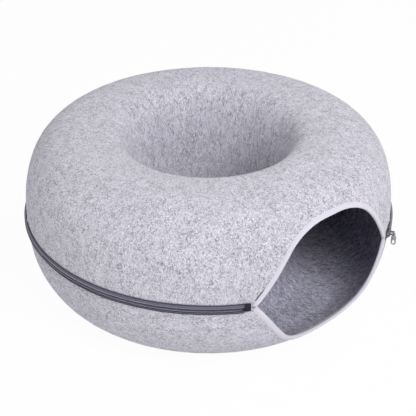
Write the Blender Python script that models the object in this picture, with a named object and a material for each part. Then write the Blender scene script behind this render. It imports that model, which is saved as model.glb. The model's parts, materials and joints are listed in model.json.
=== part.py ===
"""Donut cat tunnel: two moulded felt halves, zipped together round the rim and round the well.

Metres, +Z up, the entry faces -Y. The origin lies on the floor, under the middle of the whole part.
Every piece hangs under the empty ring_axis, which stands on the vertical axis of the ring.
"""

import math

import bmesh
import bpy
from mathutils import Vector

# Felt body: radii from the ring's axis, heights from the zip plane or the floor
RIM_RADIUS = 0.247
CREST_RADIUS = 0.161
WELL_RADIUS = 0.102
ZIP_PLANE_HEIGHT = 0.108
UPPER_RISE = 0.116
FLOOR_PRESS = 0.002
WELL_SEAM_RISE = 0.005
FELT_THICKNESS = 0.005
RIM_SETBACK = 0.0047
WELL_SETBACK = 0.0006

# How square each quarter of the section is: 2 is an ellipse, and more is boxier
UPPER_RIM_POWER = 2.7
UPPER_WELL_POWER = 3.6
LOWER_RIM_POWER = 2.3
LOWER_WELL_POWER = 3.0
SHOULDER_BEND = 2.0

# Entry, cut alike in both halves
ENTRY_WIDTH = 0.2258
ENTRY_RISE = 0.088
CUTTER_REACH = 0.012
CUTTER_SWELL = 0.05
ENTRY_OUTLINE_SHARES = (
    (0.0, 1.0),
    (0.16, 0.994),
    (0.31, 0.96),
    (0.46, 0.883),
    (0.58, 0.765),
    (0.69, 0.58),
    (0.80, 0.365),
    (0.90, 0.175),
    (1.0, 0.0),
)

# Binding folded over the entry's edge
BINDING_WIDTH = 0.006
BINDING_THICKNESS = 0.0008
BINDING_ROUNDING = 0.0005
BINDING_END_GAP = 0.0003

# Zip tape and coil, the same on both rings
TAPE_THICKNESS = 0.0007
TAPE_REACH = 0.007
CHAIN_HALF_GAP = 0.0008
COIL_WIDTH = 0.0021
COIL_THICKNESS = 0.002
COIL_CHAMFER = 0.0005

# Inner zip: its tape stands off the felt, so that the slider's lower plate passes behind it
INNER_TAPE_SHOULDER = 0.0049
INNER_TAPE_REACH = 0.0125
INNER_PLATE_ROOM = 0.0007

# Ends of the zips, along the arc from the corner of the opening
ZIP_END_GAP = 0.0073
STOP_SETBACK = 0.0015
STOP_LENGTH = 0.0025
STOP_OVERSIZE = 0.0003
BOX_LENGTH = 0.007
BOX_THICKNESS = 0.0028
BOX_LOWER_REACH = 0.0031
BOX_SOCKET_DEPTH = 0.0045
PIN_LENGTH = 0.0075
PIN_THICKNESS = 0.0012
PIN_WIDTH = 0.0015

# Slider
SLIDER_LENGTH = 0.011
SLIDER_REAR_HALF_WIDTH = 0.0039
SLIDER_FRONT_HALF_WIDTH = 0.0044
SLIDER_NOSE_HALF_WIDTH = 0.0030
SLIDER_SHOULDER_START_SHARE = 1 / 3
SLIDER_SHOULDER_END_SHARE = 2 / 3
SLIDER_PLATE_THICKNESS = 0.0011
SLIDER_LOWER_INSET = 0.0003
SLIDER_STOP_GAP = 0.0005
WEDGE_LENGTH = 0.0036
WEDGE_SETBACK = 0.0008
CROWN_LENGTH = 0.0078
CROWN_LEG_LENGTH = 0.0013
CROWN_LEG_HALF_WIDTH = 0.0012
CROWN_SHOULDER = 0.0009
CROWN_RISE = 0.0048
CROWN_BAR_RADIUS = 0.0006

# Pull
PULL_LENGTH = 0.0175
PULL_WIDTH = 0.0068
PULL_SHOULDER_DROP = 0.006
PULL_THICKNESS = 0.0013
PULL_KNUCKLE_WALL = 0.0008
PULL_KNUCKLE_LENGTH = 0.003
PULL_HOLE_RADIUS = 0.0016
PULL_HOLE_LENGTH = 0.0024
PULL_HOLE_MARGIN = 0.0016

# Clearances and counts
CLEARANCE = 0.00035
SEAT_GAP = 0.0003
OVERRUN = 0.001
MELD = 0.0003
AZIMUTH_STEPS = 60
FACET_LINE_SHARE = 0.001
OUTER_RIM_SEGMENTS = 9
OUTER_WELL_SEGMENTS = 8
INNER_RIM_SEGMENTS = 9
INNER_WELL_SEGMENTS = 4
OUTLINE_STEPS = 18
BINDING_STEPS = 24
ROUND_STEPS = 12
CURVE_SAMPLES = 600
SMOOTH_ANGLE = math.radians(35)
ENTRY_AZIMUTH = -math.pi / 2

# Worked out from the sizes above
LOWER_DROP = ZIP_PLANE_HEIGHT + FLOOR_PRESS
WELL_SEAM_HEIGHT = ZIP_PLANE_HEIGHT + WELL_SEAM_RISE
ENTRY_HALF_ANGLE = math.asin(ENTRY_WIDTH / 2 / RIM_RADIUS)
RIM_HALF_WIDTH = RIM_RADIUS - CREST_RADIUS
WELL_HALF_WIDTH = CREST_RADIUS - WELL_RADIUS
COIL_REACH = CHAIN_HALF_GAP + COIL_WIDTH
COIL_FOOT = TAPE_THICKNESS + SEAT_GAP
COIL_TOP = COIL_FOOT + COIL_THICKNESS
SLIDER_TOP = COIL_TOP + CLEARANCE + SLIDER_PLATE_THICKNESS
CHANNEL_HALF_WIDTH = COIL_REACH + CLEARANCE
KNUCKLE_BORE = CROWN_BAR_RADIUS + CLEARANCE
KNUCKLE_RADIUS = KNUCKLE_BORE + PULL_KNUCKLE_WALL
CROWN_BAR_HEIGHT = SLIDER_TOP + CROWN_RISE

FELT = ("felt", (0.63, 0.63, 0.65), 0.95, 0.0)
BINDING = ("binding", (0.80, 0.80, 0.82), 0.85, 0.0)
TAPE = ("zip_tape", (0.17, 0.16, 0.20), 0.85, 0.0)
COIL = ("zip_coil", (0.10, 0.10, 0.12), 0.45, 0.0)
DARK_METAL = ("slider_metal", (0.12, 0.12, 0.14), 0.35, 1.0)
BRIGHT_METAL = ("pull_metal", (0.62, 0.62, 0.62), 0.30, 1.0)
MOULDED = ("box_plastic", (0.03, 0.03, 0.035), 0.50, 0.0)


class ZipRing:
    """One zip of the tunnel, with the circle that it runs on.

    tape_radius is where the tape's inner face lies, height is the zip plane's, and corner is the angle
    from the middle of the opening to the point where this zip's own ends are measured from.
    """

    def __init__(self, name, tape_radius, height, corner, tape_section):
        self.name = name
        self.tape_radius = tape_radius
        self.height = height
        self.corner = corner
        self.tape_section = tape_section

    def sag(self):
        """How far the flat facets of the tape, and a straight slider on it, come inside the circle."""
        facet = self.tape_radius * (1 - math.cos(math.pi / AZIMUTH_STEPS))
        return facet + SLIDER_LENGTH**2 / 8 / self.tape_radius

    def closed_end(self, arc):
        """The azimuth at an arc length past the corner where the closed slider rests."""
        return ENTRY_AZIMUTH + self.corner + arc / self.tape_radius

    def start_end(self, arc):
        """The azimuth at an arc length past the corner where the zip starts, counted up past the back."""
        return ENTRY_AZIMUTH + 2 * math.pi - self.corner - arc / self.tape_radius

    def slider_azimuth(self):
        return self.closed_end(
            ZIP_END_GAP + STOP_SETBACK + STOP_LENGTH + SLIDER_STOP_GAP + SLIDER_LENGTH / 2
        )


def outer_tape_section():
    """A flat strip on the felt's outer face, as distances from the tape's inner face and the zip plane."""
    return [
        (0, CHAIN_HALF_GAP),
        (TAPE_THICKNESS, CHAIN_HALF_GAP),
        (TAPE_THICKNESS, TAPE_REACH),
        (0, TAPE_REACH),
    ]


def inner_tape_section(stand_off):
    """A strip that slants back to the felt, where its edge is sewn down."""
    return [
        (0, CHAIN_HALF_GAP),
        (TAPE_THICKNESS, CHAIN_HALF_GAP),
        (TAPE_THICKNESS, INNER_TAPE_SHOULDER),
        (TAPE_THICKNESS - stand_off, INNER_TAPE_REACH),
        (-stand_off, INNER_TAPE_REACH),
        (0, INNER_TAPE_SHOULDER),
    ]


def outer_ring():
    return ZipRing(
        "outer", RIM_RADIUS + SEAT_GAP, ZIP_PLANE_HEIGHT, ENTRY_HALF_ANGLE, outer_tape_section()
    )


def inner_ring():
    wall = WELL_RADIUS + FELT_THICKNESS
    plate_room = INNER_PLATE_ROOM + SLIDER_PLATE_THICKNESS + CLEARANCE
    ring = ZipRing("inner", wall + plate_room, WELL_SEAM_HEIGHT, 0, None)
    ring.tape_radius += ring.sag()
    ring.tape_section = inner_tape_section(ring.tape_radius - wall - SEAT_GAP)
    return ring


def clear_scene():
    for obj in list(bpy.data.objects):
        bpy.data.objects.remove(obj, do_unlink=True)


def material(finish):
    """One Principled material for each finish: name, colour, roughness and metallic value."""
    name, color, roughness, metallic = finish
    made = bpy.data.materials.get(name)
    if made:
        return made
    made = bpy.data.materials.new(name)
    made.use_nodes = True
    shader = made.node_tree.nodes["Principled BSDF"]
    shader.inputs["Base Color"].default_value = (*color, 1)
    shader.inputs["Roughness"].default_value = roughness
    shader.inputs["Metallic"].default_value = metallic
    made.diffuse_color = (*color, 1)
    return made


def object_of(name, bm, finish, parent):
    """Writes a bmesh to a new object with outward faces, smooth shading and sharp edges."""
    bmesh.ops.recalc_face_normals(bm, faces=bm.faces)
    mesh = bpy.data.meshes.new(name)
    bm.to_mesh(mesh)
    bm.free()
    mesh.shade_smooth()
    mesh.set_sharp_from_angle(angle=SMOOTH_ANGLE)
    mesh.materials.append(material(finish))
    obj = bpy.data.objects.new(name, mesh)
    bpy.context.scene.collection.objects.link(obj)
    obj.parent = parent
    return obj


def helper_of(name, bm, parent):
    """A shape that only cuts or adds to another one, and that a render leaves out."""
    obj = object_of(name, bm, MOULDED, parent)
    obj.hide_render = True
    obj.display_type = "WIRE"
    return obj


def combine(obj, other, operation):
    modifier = obj.modifiers.new(f"{operation.lower()}_{other.name}", "BOOLEAN")
    modifier.operation = operation
    modifier.object = other
    modifier.solver = "EXACT"


def polar(radius, azimuth, z):
    return Vector((radius * math.cos(azimuth), radius * math.sin(azimuth), z))


def loft(rings, closed=False):
    """A closed body through rings of points, with flat caps unless the last ring meets the first."""
    bm = bmesh.new()
    made = [[bm.verts.new(point) for point in ring] for ring in rings]
    pairs = list(zip(made, made[1:]))
    if closed:
        pairs.append((made[-1], made[0]))
    for ring, following in pairs:
        for i in range(len(ring)):
            j = (i + 1) % len(ring)
            bm.faces.new((ring[i], ring[j], following[j], following[i]))
    if not closed:
        bm.faces.new(made[0])
        bm.faces.new(made[-1])
    return bm


def prism(outline, low, high):
    """A body with an outline in X and Z that is drawn out along Y."""
    return loft([[Vector((x, y, z)) for x, z in outline] for y in (low, high)])


def box(low, high):
    outline = [(low[0], low[2]), (high[0], low[2]), (high[0], high[2]), (low[0], high[2])]
    return prism(outline, low[1], high[1])


def rod_along_x(radius, low, high):
    """A round rod along X, through the origin of Y and Z."""
    angles = [2 * math.pi * i / ROUND_STEPS for i in range(ROUND_STEPS)]
    return plate_along_x([(radius * math.cos(a), radius * math.sin(a)) for a in angles], low, high)


def plate_along_x(outline, low, high):
    """A body with an outline in Y and Z that is drawn out along X."""
    return loft([[Vector((x, y, z)) for y, z in outline] for x in (low, high)])


def plate_along_z(outline, low, high):
    """A body with an outline in X and Y that is drawn out along Z."""
    return loft([[Vector((x, y, z)) for x, y in outline] for z in (low, high)])


def moved(bm, offset):
    bmesh.ops.translate(bm, vec=offset, verts=bm.verts)
    return bm


def grid_azimuths(start, end):
    """Azimuths from start to end, with the body's own facet lines between, so that facets lie parallel."""
    step = 2 * math.pi / AZIMUTH_STEPS
    tiny = step * FACET_LINE_SHARE
    first = math.floor(start / step) + 1
    last = math.ceil(end / step) - 1
    inner = [i * step for i in range(first, last + 1) if start + tiny < i * step < end - tiny]
    return [start, *inner, end]


def swept(section, start, end):
    """A section of radii and heights, swept round the ring's axis between two azimuths."""
    return loft([[polar(r, a, z) for r, z in section] for a in grid_azimuths(start, end)])


def quarter(half_width, rise, power):
    """Points of a superellipse's quarter, as offsets from the crest's radius and the seam's height."""
    points = []
    for i in range(CURVE_SAMPLES + 1):
        t = math.pi / 2 * i / CURVE_SAMPLES
        across = half_width * max(math.cos(t), 0.0) ** (2 / power)
        up = rise * max(math.sin(t), 0.0) ** (2 / power)
        points.append((across, up))
    return points


def resample(points, count):
    """Points at even steps along a line, with the line's outward normals on its left side."""
    lengths = [0.0]
    for a, b in zip(points, points[1:]):
        lengths.append(lengths[-1] + math.dist(a, b))
    result = []
    k = 0
    for i in range(count + 1):
        target = lengths[-1] * i / count
        while k < len(points) - 2 and lengths[k + 1] < target:
            k += 1
        a, b = points[k], points[k + 1]
        f = (target - lengths[k]) / (lengths[k + 1] - lengths[k])
        run = math.dist(a, b)
        place = (a[0] + (b[0] - a[0]) * f, a[1] + (b[1] - a[1]) * f)
        result.append((place, ((b[1] - a[1]) / run, -(b[0] - a[0]) / run)))
    return result


def half_section(sign, rise, rim_power, well_power):
    """One half's closed section, as radii and heights.

    The outer face runs from rim to well, pressed flat on the floor, and then the inner face runs back.
    """
    seam_rise = rise - sign * WELL_SEAM_RISE
    rim = [
        (CREST_RADIUS + a, ZIP_PLANE_HEIGHT + sign * u)
        for a, u in quarter(RIM_HALF_WIDTH, rise, rim_power)
    ]
    well = [
        (CREST_RADIUS - a, WELL_SEAM_HEIGHT + sign * u)
        for a, u in reversed(quarter(WELL_HALF_WIDTH, seam_rise, well_power))
    ]
    rim = [p for p in rim if sign * (p[1] - ZIP_PLANE_HEIGHT) >= RIM_SETBACK]
    well = [p for p in well if sign * (p[1] - WELL_SEAM_HEIGHT) >= WELL_SETBACK]

    def face(rim_count, well_count, depth):
        points = resample(rim, rim_count)[:-1] + resample(well, well_count)
        shifted = [(p[0] - sign * n[0] * depth, p[1] - sign * n[1] * depth) for p, n in points]
        return [(r, max(z, depth)) for r, z in shifted]

    outer = face(OUTER_RIM_SEGMENTS, OUTER_WELL_SEGMENTS, 0.0)
    inner = face(INNER_RIM_SEGMENTS, INNER_WELL_SEGMENTS, FELT_THICKNESS)
    return outer + inner[::-1]


def rim_quarter(sign):
    if sign > 0:
        return UPPER_RISE, UPPER_RIM_POWER
    return LOWER_DROP, LOWER_RIM_POWER


def face_point(angle, height):
    """A point of the felt's outer face, with its normal.

    The angle counts from the entry's middle and the height from the zip plane.
    """
    rise, power = rim_quarter(height)
    up = min(abs(height) / rise, 1.0)
    across = (1 - up**power) ** (1 / power)
    azimuth = ENTRY_AZIMUTH + angle
    out = across ** (power - 1) / RIM_HALF_WIDTH
    lift = math.copysign(up ** (power - 1) / rise, height)
    normal = polar(out, azimuth, lift).normalized()
    return polar(CREST_RADIUS + RIM_HALF_WIDTH * across, azimuth, ZIP_PLANE_HEIGHT + height), normal


def smooth_line(points, count):
    """A Catmull-Rom curve through points, mirrored at its first one, at even steps along the curve."""
    mirrored = (-points[1][0], points[1][1])
    beyond = tuple(2 * b - a for a, b in zip(points[-2], points[-1]))
    ends = [mirrored, *points, beyond]
    dense = []
    per_span = CURVE_SAMPLES // len(points)
    for p0, p1, p2, p3 in zip(ends, ends[1:], ends[2:], ends[3:]):
        for i in range(per_span):
            t = i / per_span
            dense.append(
                tuple(
                    b + t * ((c - a) + t * ((2 * a - 5 * b + 4 * c - d) + t * (3 * b - 3 * c + d - a))) / 2
                    for a, b, c, d in zip(p0, p1, p2, p3)
                )
            )
    dense.append(points[-1])
    return [place for place, _ in resample(dense, count)]


def entry_outline(sign, count):
    """The entry's edge in one half, corner to corner over its middle, as angles and heights."""
    reach = ENTRY_HALF_ANGLE * RIM_RADIUS
    half = smooth_line([(a * reach, u * ENTRY_RISE) for a, u in ENTRY_OUTLINE_SHARES], count)
    side = [(x / RIM_RADIUS, sign * z) for x, z in half]
    return [(-a, z) for a, z in reversed(side)] + side[1:]


def entry_cutter(parent):
    """A plug that goes square through the felt along the whole edge of the entry."""
    loop = entry_outline(1, OUTLINE_STEPS) + entry_outline(-1, OUTLINE_STEPS)[-2:0:-1]
    places = [face_point(angle, height) for angle, height in loop]
    depth = FELT_THICKNESS + CUTTER_REACH
    middle = polar(RIM_RADIUS, ENTRY_AZIMUTH, ZIP_PLANE_HEIGHT)
    inward = polar(-CUTTER_SWELL, ENTRY_AZIMUTH, 0)
    bm = bmesh.new()
    outer = [bm.verts.new(point + normal * CUTTER_REACH) for point, normal in places]
    inner = [bm.verts.new(point - normal * depth) for point, normal in places]
    outer_middle = bm.verts.new(middle - inward)
    inner_middle = bm.verts.new(middle + inward)
    for i in range(len(loop)):
        j = (i + 1) % len(loop)
        bm.faces.new((outer[i], outer[j], inner[j], inner[i]))
        bm.faces.new((outer[j], outer[i], outer_middle))
        bm.faces.new((inner[i], inner[j], inner_middle))
    return helper_of("entry_cutter", bm, parent)


def shell(name, sign, rise, rim_power, well_power, cutter, parent):
    """A moulded felt half: its section spun round the ring's axis, with the entry cut away."""
    bm = bmesh.new()
    section = half_section(sign, rise, rim_power, well_power)
    corners = [bm.verts.new((r, 0, z)) for r, z in section]
    edges = [bm.edges.new((a, b)) for a, b in zip(corners, corners[1:] + corners[:1])]
    bmesh.ops.spin(
        bm,
        geom=corners + edges,
        cent=(0, 0, 0),
        axis=(0, 0, 1),
        angle=2 * math.pi,
        steps=AZIMUTH_STEPS,
        use_merge=True,
    )
    obj = object_of(name, bm, FELT, parent)
    combine(obj, cutter, "DIFFERENCE")
    return obj


def facet_bulge():
    """How far the flat facets of the felt's inner face stand out from its smooth face, into the tunnel.

    Both sagittas of a facet count, round the ring and down the section. The shoulder of a superellipse
    bends more sharply than a circle, which the second one allows for.
    """
    round_sag = RIM_RADIUS * (1 - math.cos(math.pi / AZIMUTH_STEPS))
    section_radius = max(UPPER_RISE, LOWER_DROP)
    half_arc = math.pi / 4 / INNER_RIM_SEGMENTS
    section_sag = section_radius * (1 - math.cos(half_arc))
    return round_sag + section_sag * SHOULDER_BEND


def binding_sections(sign):
    """Folded sections along the entry's edge: points round the fold, outer face first."""
    line = entry_outline(sign, BINDING_STEPS)
    inside = FELT_THICKNESS + CLEARANCE + facet_bulge()
    fold = CLEARANCE + BINDING_THICKNESS
    sections = []
    for i, (angle, height) in enumerate(line):
        place, normal = face_point(angle, height if height else sign * SEAT_GAP)
        before = face_point(*line[max(i - 1, 0)])[0]
        after = face_point(*line[min(i + 1, len(line) - 1)])[0]
        along = (after - before).normalized()
        away = normal.cross(along).normalized() * sign
        edge = place + away * BINDING_WIDTH
        edge_angle = math.atan2(edge.y, edge.x) - ENTRY_AZIMUTH
        edge_height = edge.z - ZIP_PLANE_HEIGHT
        if sign * edge_height < SEAT_GAP:
            edge_height = sign * SEAT_GAP
        leg, leg_normal = face_point(edge_angle, edge_height)
        section = [
            leg + leg_normal * CLEARANCE,
            place - away * CLEARANCE + normal * CLEARANCE,
            place - away * CLEARANCE - normal * inside,
            leg - leg_normal * inside,
            leg - leg_normal * (inside + BINDING_THICKNESS),
            place - away * (fold - BINDING_ROUNDING) - normal * (inside + BINDING_THICKNESS),
            place - away * fold - normal * (inside + BINDING_THICKNESS - BINDING_ROUNDING),
            place - away * fold + normal * (fold - BINDING_ROUNDING),
            place - away * (fold - BINDING_ROUNDING) + normal * fold,
            leg + leg_normal * fold,
        ]
        limit = ZIP_PLANE_HEIGHT + sign * BINDING_END_GAP
        for point in section:
            point.z = max(point.z, limit) if sign > 0 else min(point.z, limit)
        sections.append(section)
    return sections


def binding(name, sign, parent):
    return object_of(name, loft(binding_sections(sign)), BINDING, parent)


def lying_on(ring, section, sign):
    """A section of offsets from the tape's inner face and the zip plane, as radii and heights."""
    return [(ring.tape_radius + out, ring.height + sign * up) for out, up in section]


def tape(ring, side, sign, start, parent):
    section = lying_on(ring, ring.tape_section, sign)
    bm = swept(section, ring.closed_end(ZIP_END_GAP), ring.start_end(start))
    return object_of(f"{ring.name}_zip_tape_{side}", bm, TAPE, parent)


def coil(ring, side, sign, parent):
    """The sewn back of one row of coil.

    The heads that mesh across the middle open and close as the slider passes, and are left out.
    """
    section = [
        (COIL_FOOT, CHAIN_HALF_GAP),
        (COIL_TOP, CHAIN_HALF_GAP),
        (COIL_TOP, COIL_REACH - COIL_CHAMFER),
        (COIL_TOP - COIL_CHAMFER, COIL_REACH),
        (COIL_FOOT, COIL_REACH),
    ]
    start = ring.closed_end(ZIP_END_GAP + STOP_SETBACK + STOP_LENGTH + SEAT_GAP)
    beyond = SEAT_GAP if sign > 0 else PIN_LENGTH - BOX_SOCKET_DEPTH + SEAT_GAP
    end = ring.start_end(ZIP_END_GAP + BOX_LENGTH + beyond)
    bm = swept(lying_on(ring, section, sign), start, end)
    return object_of(f"{ring.name}_zip_coil_{side}", bm, COIL, parent)


def end_stop(ring, side, sign, parent):
    """A metal clip on the tape's edge, against which the closed slider comes to rest."""
    section = [
        (COIL_FOOT, CHAIN_HALF_GAP),
        (COIL_TOP + STOP_OVERSIZE, CHAIN_HALF_GAP),
        (COIL_TOP + STOP_OVERSIZE, COIL_REACH),
        (COIL_TOP, COIL_REACH + STOP_OVERSIZE),
        (COIL_FOOT, COIL_REACH + STOP_OVERSIZE),
    ]
    start = ring.closed_end(ZIP_END_GAP + STOP_SETBACK)
    end = ring.closed_end(ZIP_END_GAP + STOP_SETBACK + STOP_LENGTH)
    bm = swept(lying_on(ring, section, sign), start, end)
    return object_of(f"{ring.name}_zip_end_stop_{side}", bm, BRIGHT_METAL, parent)


def pin_section(spare):
    """The insertion pin's section on the lower row, grown by a clearance for its socket."""
    middle = CHAIN_HALF_GAP + COIL_WIDTH / 2 - PIN_WIDTH / 2
    foot = COIL_FOOT + COIL_THICKNESS / 2 - PIN_THICKNESS / 2
    return [
        (foot - spare, middle - spare),
        (foot + PIN_THICKNESS + spare, middle - spare),
        (foot + PIN_THICKNESS + spare, middle + PIN_WIDTH + spare),
        (foot - spare, middle + PIN_WIDTH + spare),
    ]


def start_box(ring, parent):
    """The moulded box at the upper tape's start, with the socket that the lower row's pin goes into."""
    top = COIL_FOOT + BOX_THICKNESS
    section = [
        (COIL_FOOT, -BOX_LOWER_REACH),
        (top - COIL_CHAMFER, -BOX_LOWER_REACH),
        (top, COIL_CHAMFER - BOX_LOWER_REACH),
        (top, TAPE_REACH - COIL_CHAMFER),
        (top - COIL_CHAMFER, TAPE_REACH),
        (COIL_FOOT, TAPE_REACH),
    ]
    near = ring.start_end(ZIP_END_GAP)
    far = ring.start_end(ZIP_END_GAP + BOX_LENGTH)
    bm = swept(lying_on(ring, section, 1), far, near)
    obj = object_of(f"{ring.name}_zip_start_box", bm, MOULDED, parent)
    floor = ring.start_end(ZIP_END_GAP + BOX_LENGTH - BOX_SOCKET_DEPTH)
    mouth = ring.start_end(ZIP_END_GAP + BOX_LENGTH + OVERRUN)
    socket = swept(lying_on(ring, pin_section(CLEARANCE), -1), mouth, floor)
    combine(obj, helper_of(f"{ring.name}_socket_cutter", socket, parent), "DIFFERENCE")
    return obj


def insertion_pin(ring, parent):
    tip = ring.start_end(ZIP_END_GAP + BOX_LENGTH - BOX_SOCKET_DEPTH + SEAT_GAP)
    root = ring.start_end(ZIP_END_GAP + BOX_LENGTH - BOX_SOCKET_DEPTH + PIN_LENGTH)
    bm = swept(lying_on(ring, pin_section(0), -1), root, tip)
    return object_of(f"{ring.name}_zip_insertion_pin", bm, MOULDED, parent)


def slider_outline(inset):
    """The slider's plate from above: a narrow tail, wide shoulders and a blunt nose towards the stops."""
    half = SLIDER_LENGTH / 2
    tail = SLIDER_REAR_HALF_WIDTH - inset
    shoulder = SLIDER_FRONT_HALF_WIDTH - inset
    nose = SLIDER_NOSE_HALF_WIDTH - inset
    lower_side = [
        (-half + inset, -tail),
        (0, -tail),
        (half * SLIDER_SHOULDER_START_SHARE, -shoulder),
        (half * SLIDER_SHOULDER_END_SHARE, -shoulder),
        (half - inset, -nose),
    ]
    return lower_side + [(x, -z) for x, z in reversed(lower_side)]


def slider(ring, parent):
    """Top plate with side flanges, wedge, lower plate and the crown that the pull hangs from.

    X runs along the zip towards the stops, Y points away from the ring's axis, from the tape's inner face.
    """
    half = SLIDER_LENGTH / 2
    flange_foot = TAPE_THICKNESS + CLEARANCE
    plate_foot = COIL_TOP + CLEARANCE
    lower_top = -CLEARANCE - ring.sag()
    lower_foot = lower_top - SLIDER_PLATE_THICKNESS
    name = f"{ring.name}_zip_slider"
    obj = object_of(name, prism(slider_outline(0), flange_foot, SLIDER_TOP), DARK_METAL, parent)

    channel = box(
        (-half - OVERRUN, flange_foot - OVERRUN, -CHANNEL_HALF_WIDTH),
        (half + OVERRUN, plate_foot, CHANNEL_HALF_WIDTH),
    )
    wedge_half = CHAIN_HALF_GAP - CLEARANCE
    wedge_front = half - WEDGE_SETBACK
    wedge_outline = [
        (wedge_front - WEDGE_LENGTH, 0),
        (wedge_front - WEDGE_LENGTH / 2, -wedge_half),
        (wedge_front, -wedge_half),
        (wedge_front, wedge_half),
        (wedge_front - WEDGE_LENGTH / 2, wedge_half),
    ]
    leg_out = CROWN_LENGTH / 2
    leg_in = leg_out - CROWN_LEG_LENGTH
    leg_foot = SLIDER_TOP - MELD
    leg_top = CROWN_BAR_HEIGHT + CROWN_BAR_RADIUS
    front_leg = [
        (leg_in, leg_foot),
        (leg_out, leg_foot),
        (leg_out, leg_top - CROWN_SHOULDER),
        (leg_out - CROWN_SHOULDER, leg_top),
        (leg_in, leg_top),
    ]
    rear_leg = [(-x, y) for x, y in reversed(front_leg)]
    additions = [
        ("lower_plate", prism(slider_outline(SLIDER_LOWER_INSET), lower_foot, lower_top)),
        ("wedge", prism(wedge_outline, lower_top - MELD, plate_foot + MELD)),
        ("rear_leg", plate_along_z(rear_leg, -CROWN_LEG_HALF_WIDTH, CROWN_LEG_HALF_WIDTH)),
        ("front_leg", plate_along_z(front_leg, -CROWN_LEG_HALF_WIDTH, CROWN_LEG_HALF_WIDTH)),
        (
            "crown_bar",
            moved(
                rod_along_x(CROWN_BAR_RADIUS, -leg_in - MELD, leg_in + MELD),
                (0, CROWN_BAR_HEIGHT, 0),
            ),
        ),
    ]
    combine(obj, helper_of(f"{name}_channel", channel, obj), "DIFFERENCE")
    for part_name, bm in additions:
        combine(obj, helper_of(f"{name}_{part_name}", bm, obj), "UNION")
    azimuth = ring.slider_azimuth()
    obj.location = polar(ring.tape_radius, azimuth, ring.height)
    obj.rotation_euler.z = azimuth - math.pi / 2
    return obj


def pull(ring, parent):
    """The tab, hanging across the crown bar: a bored knuckle, a wider grip and a hole near its end."""
    grip = PULL_WIDTH / 2
    steps = ROUND_STEPS // 2
    bottom = [
        (grip * math.cos(a), -PULL_LENGTH + grip - grip * math.sin(a))
        for a in (math.pi * i / steps for i in range(steps + 1))
    ]
    right_side = [(KNUCKLE_RADIUS, 0), (KNUCKLE_RADIUS, -KNUCKLE_RADIUS), (grip, -PULL_SHOULDER_DROP)]
    outline = right_side + bottom + [(-y, z) for y, z in reversed(right_side)]
    name = f"{ring.name}_zip_pull"
    plate = plate_along_x(outline, -PULL_THICKNESS / 2, PULL_THICKNESS / 2)
    obj = object_of(name, plate, BRIGHT_METAL, parent)
    knuckle_end = PULL_KNUCKLE_LENGTH / 2
    knuckle = rod_along_x(KNUCKLE_RADIUS, -knuckle_end, knuckle_end)
    bore = rod_along_x(KNUCKLE_BORE, -knuckle_end - OVERRUN, knuckle_end + OVERRUN)
    slot_foot = -PULL_LENGTH + PULL_HOLE_MARGIN + PULL_HOLE_RADIUS
    arc = [math.pi * i / steps for i in range(steps + 1)]
    slot = [(PULL_HOLE_RADIUS * math.cos(a), slot_foot - PULL_HOLE_RADIUS * math.sin(a)) for a in arc]
    slot += [(-y, 2 * slot_foot + PULL_HOLE_LENGTH - z) for y, z in slot]
    hole = plate_along_x(slot, -PULL_THICKNESS, PULL_THICKNESS)
    combine(obj, helper_of(f"{name}_knuckle", knuckle, obj), "UNION")
    combine(obj, helper_of(f"{name}_bore", bore, obj), "DIFFERENCE")
    combine(obj, helper_of(f"{name}_hole", hole, obj), "DIFFERENCE")
    azimuth = ring.slider_azimuth()
    obj.location = polar(ring.tape_radius + CROWN_BAR_HEIGHT, azimuth, ring.height)
    obj.rotation_euler.z = azimuth - math.pi / 2
    return obj


def empty(name, parent):
    obj = bpy.data.objects.new(name, None)
    bpy.context.scene.collection.objects.link(obj)
    obj.parent = parent
    return obj


def zip_set(ring, parent):
    """All pieces of one zip. An empty on the ring's axis carries the slider and its pull round the ring."""
    travel = empty(f"{ring.name}_zip_travel", parent)
    lower_start = ZIP_END_GAP + BOX_LENGTH + SEAT_GAP
    for side, sign, start in (("upper", 1, ZIP_END_GAP), ("lower", -1, lower_start)):
        tape(ring, side, sign, start, parent)
        coil(ring, side, sign, parent)
        end_stop(ring, side, sign, parent)
    start_box(ring, parent)
    insertion_pin(ring, parent)
    slider(ring, travel)
    pull(ring, travel)


def ring_axis_offset(back_reach):
    """How far the ring's axis lies from the middle of the part, because the entry shortens its front."""
    sections = binding_sections(1) + binding_sections(-1)
    front_reach = max(-point.y for section in sections for point in section)
    return (front_reach - back_reach) / 2


def main():
    clear_scene()
    rim_zip = outer_ring()
    axis = empty("ring_axis", None)
    axis.location.y = ring_axis_offset(rim_zip.tape_radius + COIL_TOP)
    cutter = entry_cutter(axis)
    shell("upper_shell", 1, UPPER_RISE, UPPER_RIM_POWER, UPPER_WELL_POWER, cutter, axis)
    shell("lower_shell", -1, LOWER_DROP, LOWER_RIM_POWER, LOWER_WELL_POWER, cutter, axis)
    binding("upper_entry_binding", 1, axis)
    binding("lower_entry_binding", -1, axis)
    zip_set(rim_zip, axis)
    zip_set(inner_ring(), axis)


main()
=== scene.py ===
"""Looks of a donut cat tunnel: moulded felt, bound entry and two coil zips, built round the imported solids.

Metres and +Z up, in the frame of the solids. The tunnel's ring stands on a vertical axis, which the
zips' travel joints give, and the entry faces -Y.
"""

import json
import logging
import math
from dataclasses import dataclass
from enum import Enum
from typing import Any, Iterable, Optional, Sequence, Union

import bpy
import numpy as np
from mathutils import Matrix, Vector, noise


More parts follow.
